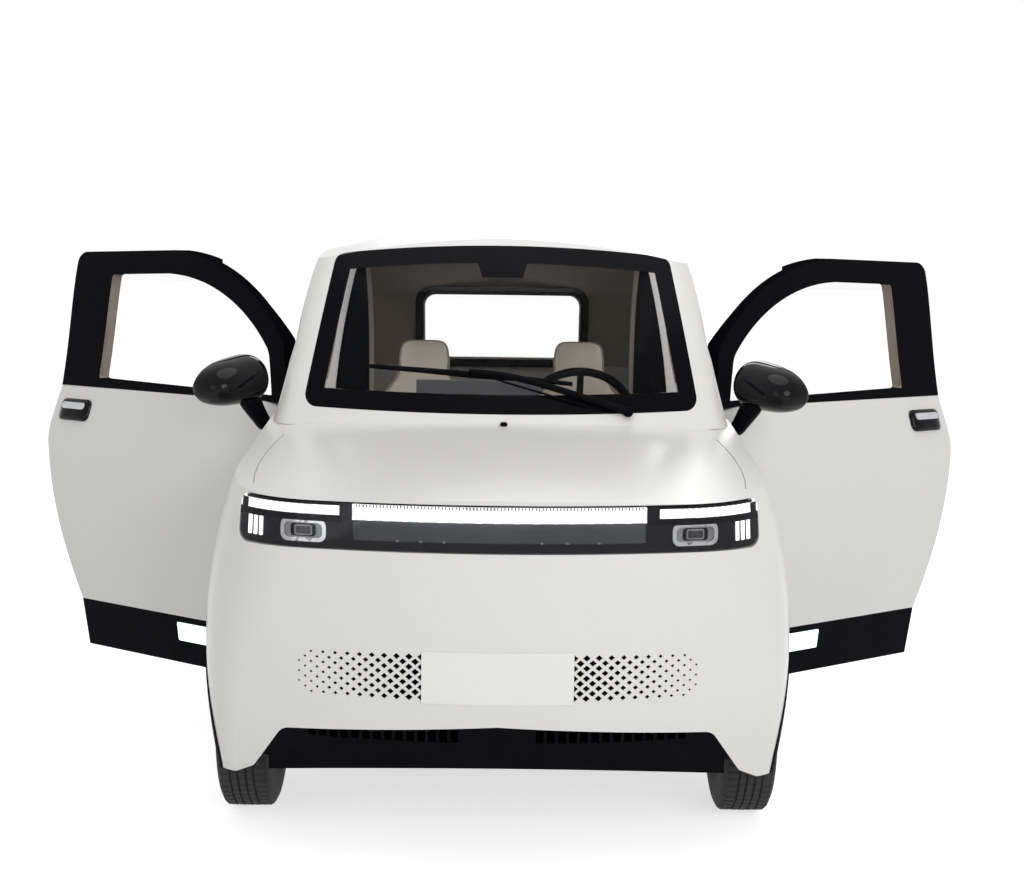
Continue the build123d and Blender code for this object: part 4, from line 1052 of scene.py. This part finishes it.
def applied(piece):
    """The piece's mesh with its modifiers applied."""
    graph = bpy.context.evaluated_depsgraph_get()
    graph.update()
    mesh = bpy.data.meshes.new_from_object(piece.evaluated_get(graph))
    piece.modifiers.clear()
    piece.data = mesh
    return mesh


def inflate(piece):
    """Swells a closed form as a filled cover does, by a cloth simulation with air inside."""
    remesh = piece.modifiers.new("cells", "REMESH")
    remesh.mode = "VOXEL"
    remesh.voxel_size = VOXEL
    mesh = applied(piece)
    start = [vertex.co.copy() for vertex in mesh.vertices]
    cloth = piece.modifiers.new("cloth", "CLOTH")
    cloth.settings.use_pressure = True
    cloth.settings.uniform_pressure_force = PRESSURE
    cloth.settings.effector_weights.gravity = 0.0
    cloth.settings.quality = 4
    cloth.collision_settings.use_collision = False
    scene = bpy.context.scene
    cloth.point_cache.frame_start = 1
    cloth.point_cache.frame_end = SWELL_FRAMES
    for number in range(1, SWELL_FRAMES + 1):
        scene.frame_set(number)
    mesh = applied(piece)
    scene.frame_set(1)
    for vertex, place in zip(mesh.vertices, start):
        moved = vertex.co - place
        if moved.length > SWELL_CAP:
            vertex.co = place + moved * (SWELL_CAP / moved.length)
    smooth = piece.modifiers.new("smooth", "SMOOTH")
    smooth.factor = 0.5
    smooth.iterations = 4
    return applied(piece)


def groove(mesh, middle, across, size, facing):
    """Presses a sewn channel into the side that faces one way, along a line at a place across it."""
    width, depth = size
    for vertex in mesh.vertices:
        away = vertex.co.dot(across) - middle
        if abs(away) < 3 * width and vertex.normal.dot(facing) > 0.3:
            vertex.co -= facing * depth * exp(-(away / width) ** 2)


def mirrored(outline):
    return list(outline) + [(-x, height) for x, height in reversed(outline)]


def seat_pads():
    """The left seat's swollen pads, with the back's axes and its base."""
    lean = radians(SEAT_LEAN)
    up = Vector((0, sin(lean), cos(lean)))
    forward = Vector((0, -cos(lean), sin(lean)))
    base = Vector((SEAT_X, *SEAT_BACK_BASE))

    def build_back(shape):
        front = [base + Vector((x, 0, 0)) + up * h - forward * SEAT_BACK_INSET
                 for x, h in mirrored(SEAT_BACK_SHAPE)]
        loft(shape, [front, [point - forward * SEAT_BACK_WALL for point in front]])
        bevelled(shape, [e for e in shape.edges if e.calc_face_angle(0) > 1.0], SEAT_BACK_ROUND, 3)

    def build_cushion(shape):
        block(shape, (SEAT_X, *CUSHION_PLACE), CUSHION)
        bevelled(shape, list(shape.edges), CUSHION_ROUND, 4)

    pads = []
    for name, build, channel_x, seam in (
        ("back", build_back, BACK_CHANNEL_X, (base.dot(up) + BACK_SEAM_HEIGHT, up, BACK_SEAM, forward)),
        ("cushion", build_cushion, CUSHION_CHANNEL_X, (CUSHION_SEAM_Y, REARWARD, CUSHION_SEAM, -DOWN)),
    ):
        pad = mesh_object(f"seat_{name}_pad_left", build, "leather", None)
        mesh = inflate(pad)
        for side, sign in SIDES[::-1]:
            groove(mesh, SEAT_X + sign * channel_x, Vector((1, 0, 0)), CHANNEL, seam[-1])
        groove(mesh, *seam)
        pads.append(pad)
    return pads, up, forward, base


def finish_pad(piece, node):
    coat(piece.data, "leather")
    piece.data.polygons.foreach_set("use_smooth", [True] * len(piece.data.polygons))
    subdivided(piece, 1)
    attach(piece, "body")
    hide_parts(node)


def make_seats():
    pads, up, forward, base = seat_pads()
    covers = []
    for pad in pads:
        flipped = new_object(pad.name.replace("left", "right"), pad.data.copy())
        flipped.data.transform(Matrix.Diagonal((-1, 1, 1, 1)))
        flipped.data.flip_normals()
        covers.append(flipped)
    surfaces = BVHTree.FromObject(pads[0], bpy.context.evaluated_depsgraph_get())
    path = []
    for x, h in divided(mirrored(SEAT_BACK_SHAPE[2:]))[:-1]:
        aim = base + Vector((x, 0, 0)) + up * h - forward * PIPING_BEHIND
        path.append(surfaces.find_nearest(aim)[0])
    path = eased(path, 6)
    for side, sign in SIDES:
        def build(shape):
            tube(shape, [Vector((sign * point.x, point.y, point.z)) for point in path], PIPING_RADIUS, 6)
        mesh_object("seat_piping_" + side, build, "piping", "body")
    for side, pieces in (("left", pads), ("right", covers)):
        for piece in pieces:
            finish_pad(piece, "seat_" + side)


# Pillars behind the door openings, metres: height, then the trim's outer and inner place across
PILLAR_SHAPE = ((0.60, 0.585, 0.455), (0.90, 0.578, 0.455), (1.02, 0.569, 0.455), (1.12, 0.557, 0.455),
                (1.22, 0.541, 0.456), (1.32, 0.521, 0.460), (1.40, 0.503, 0.466), (1.44, 0.490, 0.470))
PILLAR_FRONT = 0.430
PILLAR_DEPTH = 0.028
PILLAR_LAP = 0.004


def make_pillars():
    """Behind each door a pale flange, whose paint is lighter than the body's as painted light on its shaded
    face, a dark trim and a cover in the lining's cloth.
    """
    walls = surface("cabin_lining", "rear_body")
    for side, sign in SIDES:
        flange, trim, cover = [], [], []
        for z, outer, inner in PILLAR_SHAPE:
            found = walls.ray_cast(Vector((0, PILLAR_FRONT + PILLAR_DEPTH / 2, z)), Vector((sign, 0, 0)))[0]
            wall = max(abs(found.x) - 0.001, outer + PILLAR_LAP)
            for rows, places in (
                (flange, ((wall, 0), (outer, 0))),
                (trim, ((outer, -PILLAR_LAP), ((outer + inner) / 2, -1.5 * PILLAR_LAP), (inner, 0))),
                (cover, ((inner, PILLAR_LAP), (inner - 3.5 * PILLAR_LAP, 2.5 * PILLAR_LAP))),
            ):
                rows.append([Vector((sign * x, PILLAR_FRONT + y, z)) for x, y in places])
        for name, rows, kind, slot in (
            ("flange", flange, "jamb_paint_painted_light", "body_white"),
            ("trim", trim, "black_trim", "black_trim"),
            ("cover", cover, "lining", "lining_beige"),
        ):
            grid_piece(f"pillar_{name}_{side}", rows, PILLAR_DEPTH, kind)


# Rims, metres: caps and nuts with their two radii and depth, and where they stand
CAP_FACE = 0.0345
CAP_SIZE = (0.027, 0.022, 0.014)
NUT_SIZE = (0.0120, 0.0105, 0.018)
NUT_INSET = 0.0055
NUT_CIRCLE = 0.054
NUTS = 4
# Within this radius and depth the rim's barrel is painted black, as painted shade inside the wheel
RIM_BARREL = 0.150
RIM_BARREL_END = 0.010


def middle_of(node):
    low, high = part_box(node)
    return (low + high) / 2


def make_wheel_caps():
    for wheel, sign in WHEELS:
        centre = middle_of("rim_" + wheel)
        face = centre.x + sign * CAP_FACE
        turn = Matrix.Rotation(sign * pi / 2, 4, "Y")

        def build(shape):
            cone(shape, 32, CAP_SIZE, (face, centre.y, centre.z), turn)
            for angle in turns(NUTS):
                place = (face - sign * NUT_INSET, centre.y + NUT_CIRCLE * cos(angle + pi / 4),
                         centre.z + NUT_CIRCLE * sin(angle + pi / 4))
                cone(shape, 6, NUT_SIZE, place, turn)
        mesh_object("wheel_cap_" + wheel, build, "dark_metal", "wheel_" + wheel, smooth=False)


def paint_faces(node, kind, chosen):
    """Gives the chosen faces of a CAD node a second material."""
    mesh = nodes[node].data
    mesh.materials.append(materials[kind])
    index = len(mesh.materials) - 1
    for face in mesh.polygons:
        if chosen(face.center, face.normal):
            face.material_index = index


# How much a face must turn one way to count as facing it, and the door frame's rear stretch, metres
FACING = 0.6
FRAME_REAR = 0.15


def paint_edges():
    """Second materials on faces that are seen apart: the doors' frames, the rims' back faces and inner barrel
    (black, as painted shade inside the wheels), tail lamp and display.
    """
    for side, sign in SIDES:
        inward = door_way(side, -1, 0)
        forward = door_way(side, 0, -1)
        node = "door_frame_" + side

        def rear_edge(c, n):
            return n.dot(forward) > FACING and closed_place(side, c).y > FRAME_REAR
        paint_faces(node, "lining", lambda c, n: n.dot(inward) > FACING or rear_edge(c, n))
        paint_faces(node, "frame_edge", lambda c, n: abs(n.dot(inward)) < FACING and not rear_edge(c, n))
    for wheel, sign in WHEELS:
        hub = middle_of("rim_" + wheel)
        # Painted shade: the rim's back faces and inner barrel take the black trim so that the wheel's inside
        # reads dark
        paint_faces("rim_" + wheel, "black_trim", lambda c, n: n.x * sign < -0.2 or (
            (c.x - hub.x) * sign < RIM_BARREL_END and (c - hub).yz.length < RIM_BARREL))
    paint_faces("tail_lamp_bar", "lining", lambda c, n: n.y < -0.3)
    paint_faces("dashboard", "screen", lambda c, n: c.z > 1.06 and n.y > 0.8)


make_camera()
make_stage()
dress_nodes()
for wheel, sign in WHEELS:
    make_tyre(wheel)
make_lamp_details()
make_lamp_housing()
make_hole_shades()
make_door_details()
make_door_inside()
make_nozzle()
make_seats()
make_pillars()
make_wheel_caps()
make_mirrors()
make_wiper()
make_rear_frame()
make_valance_lip()
make_chassis()
make_bonnet_lines()
paint_edges()
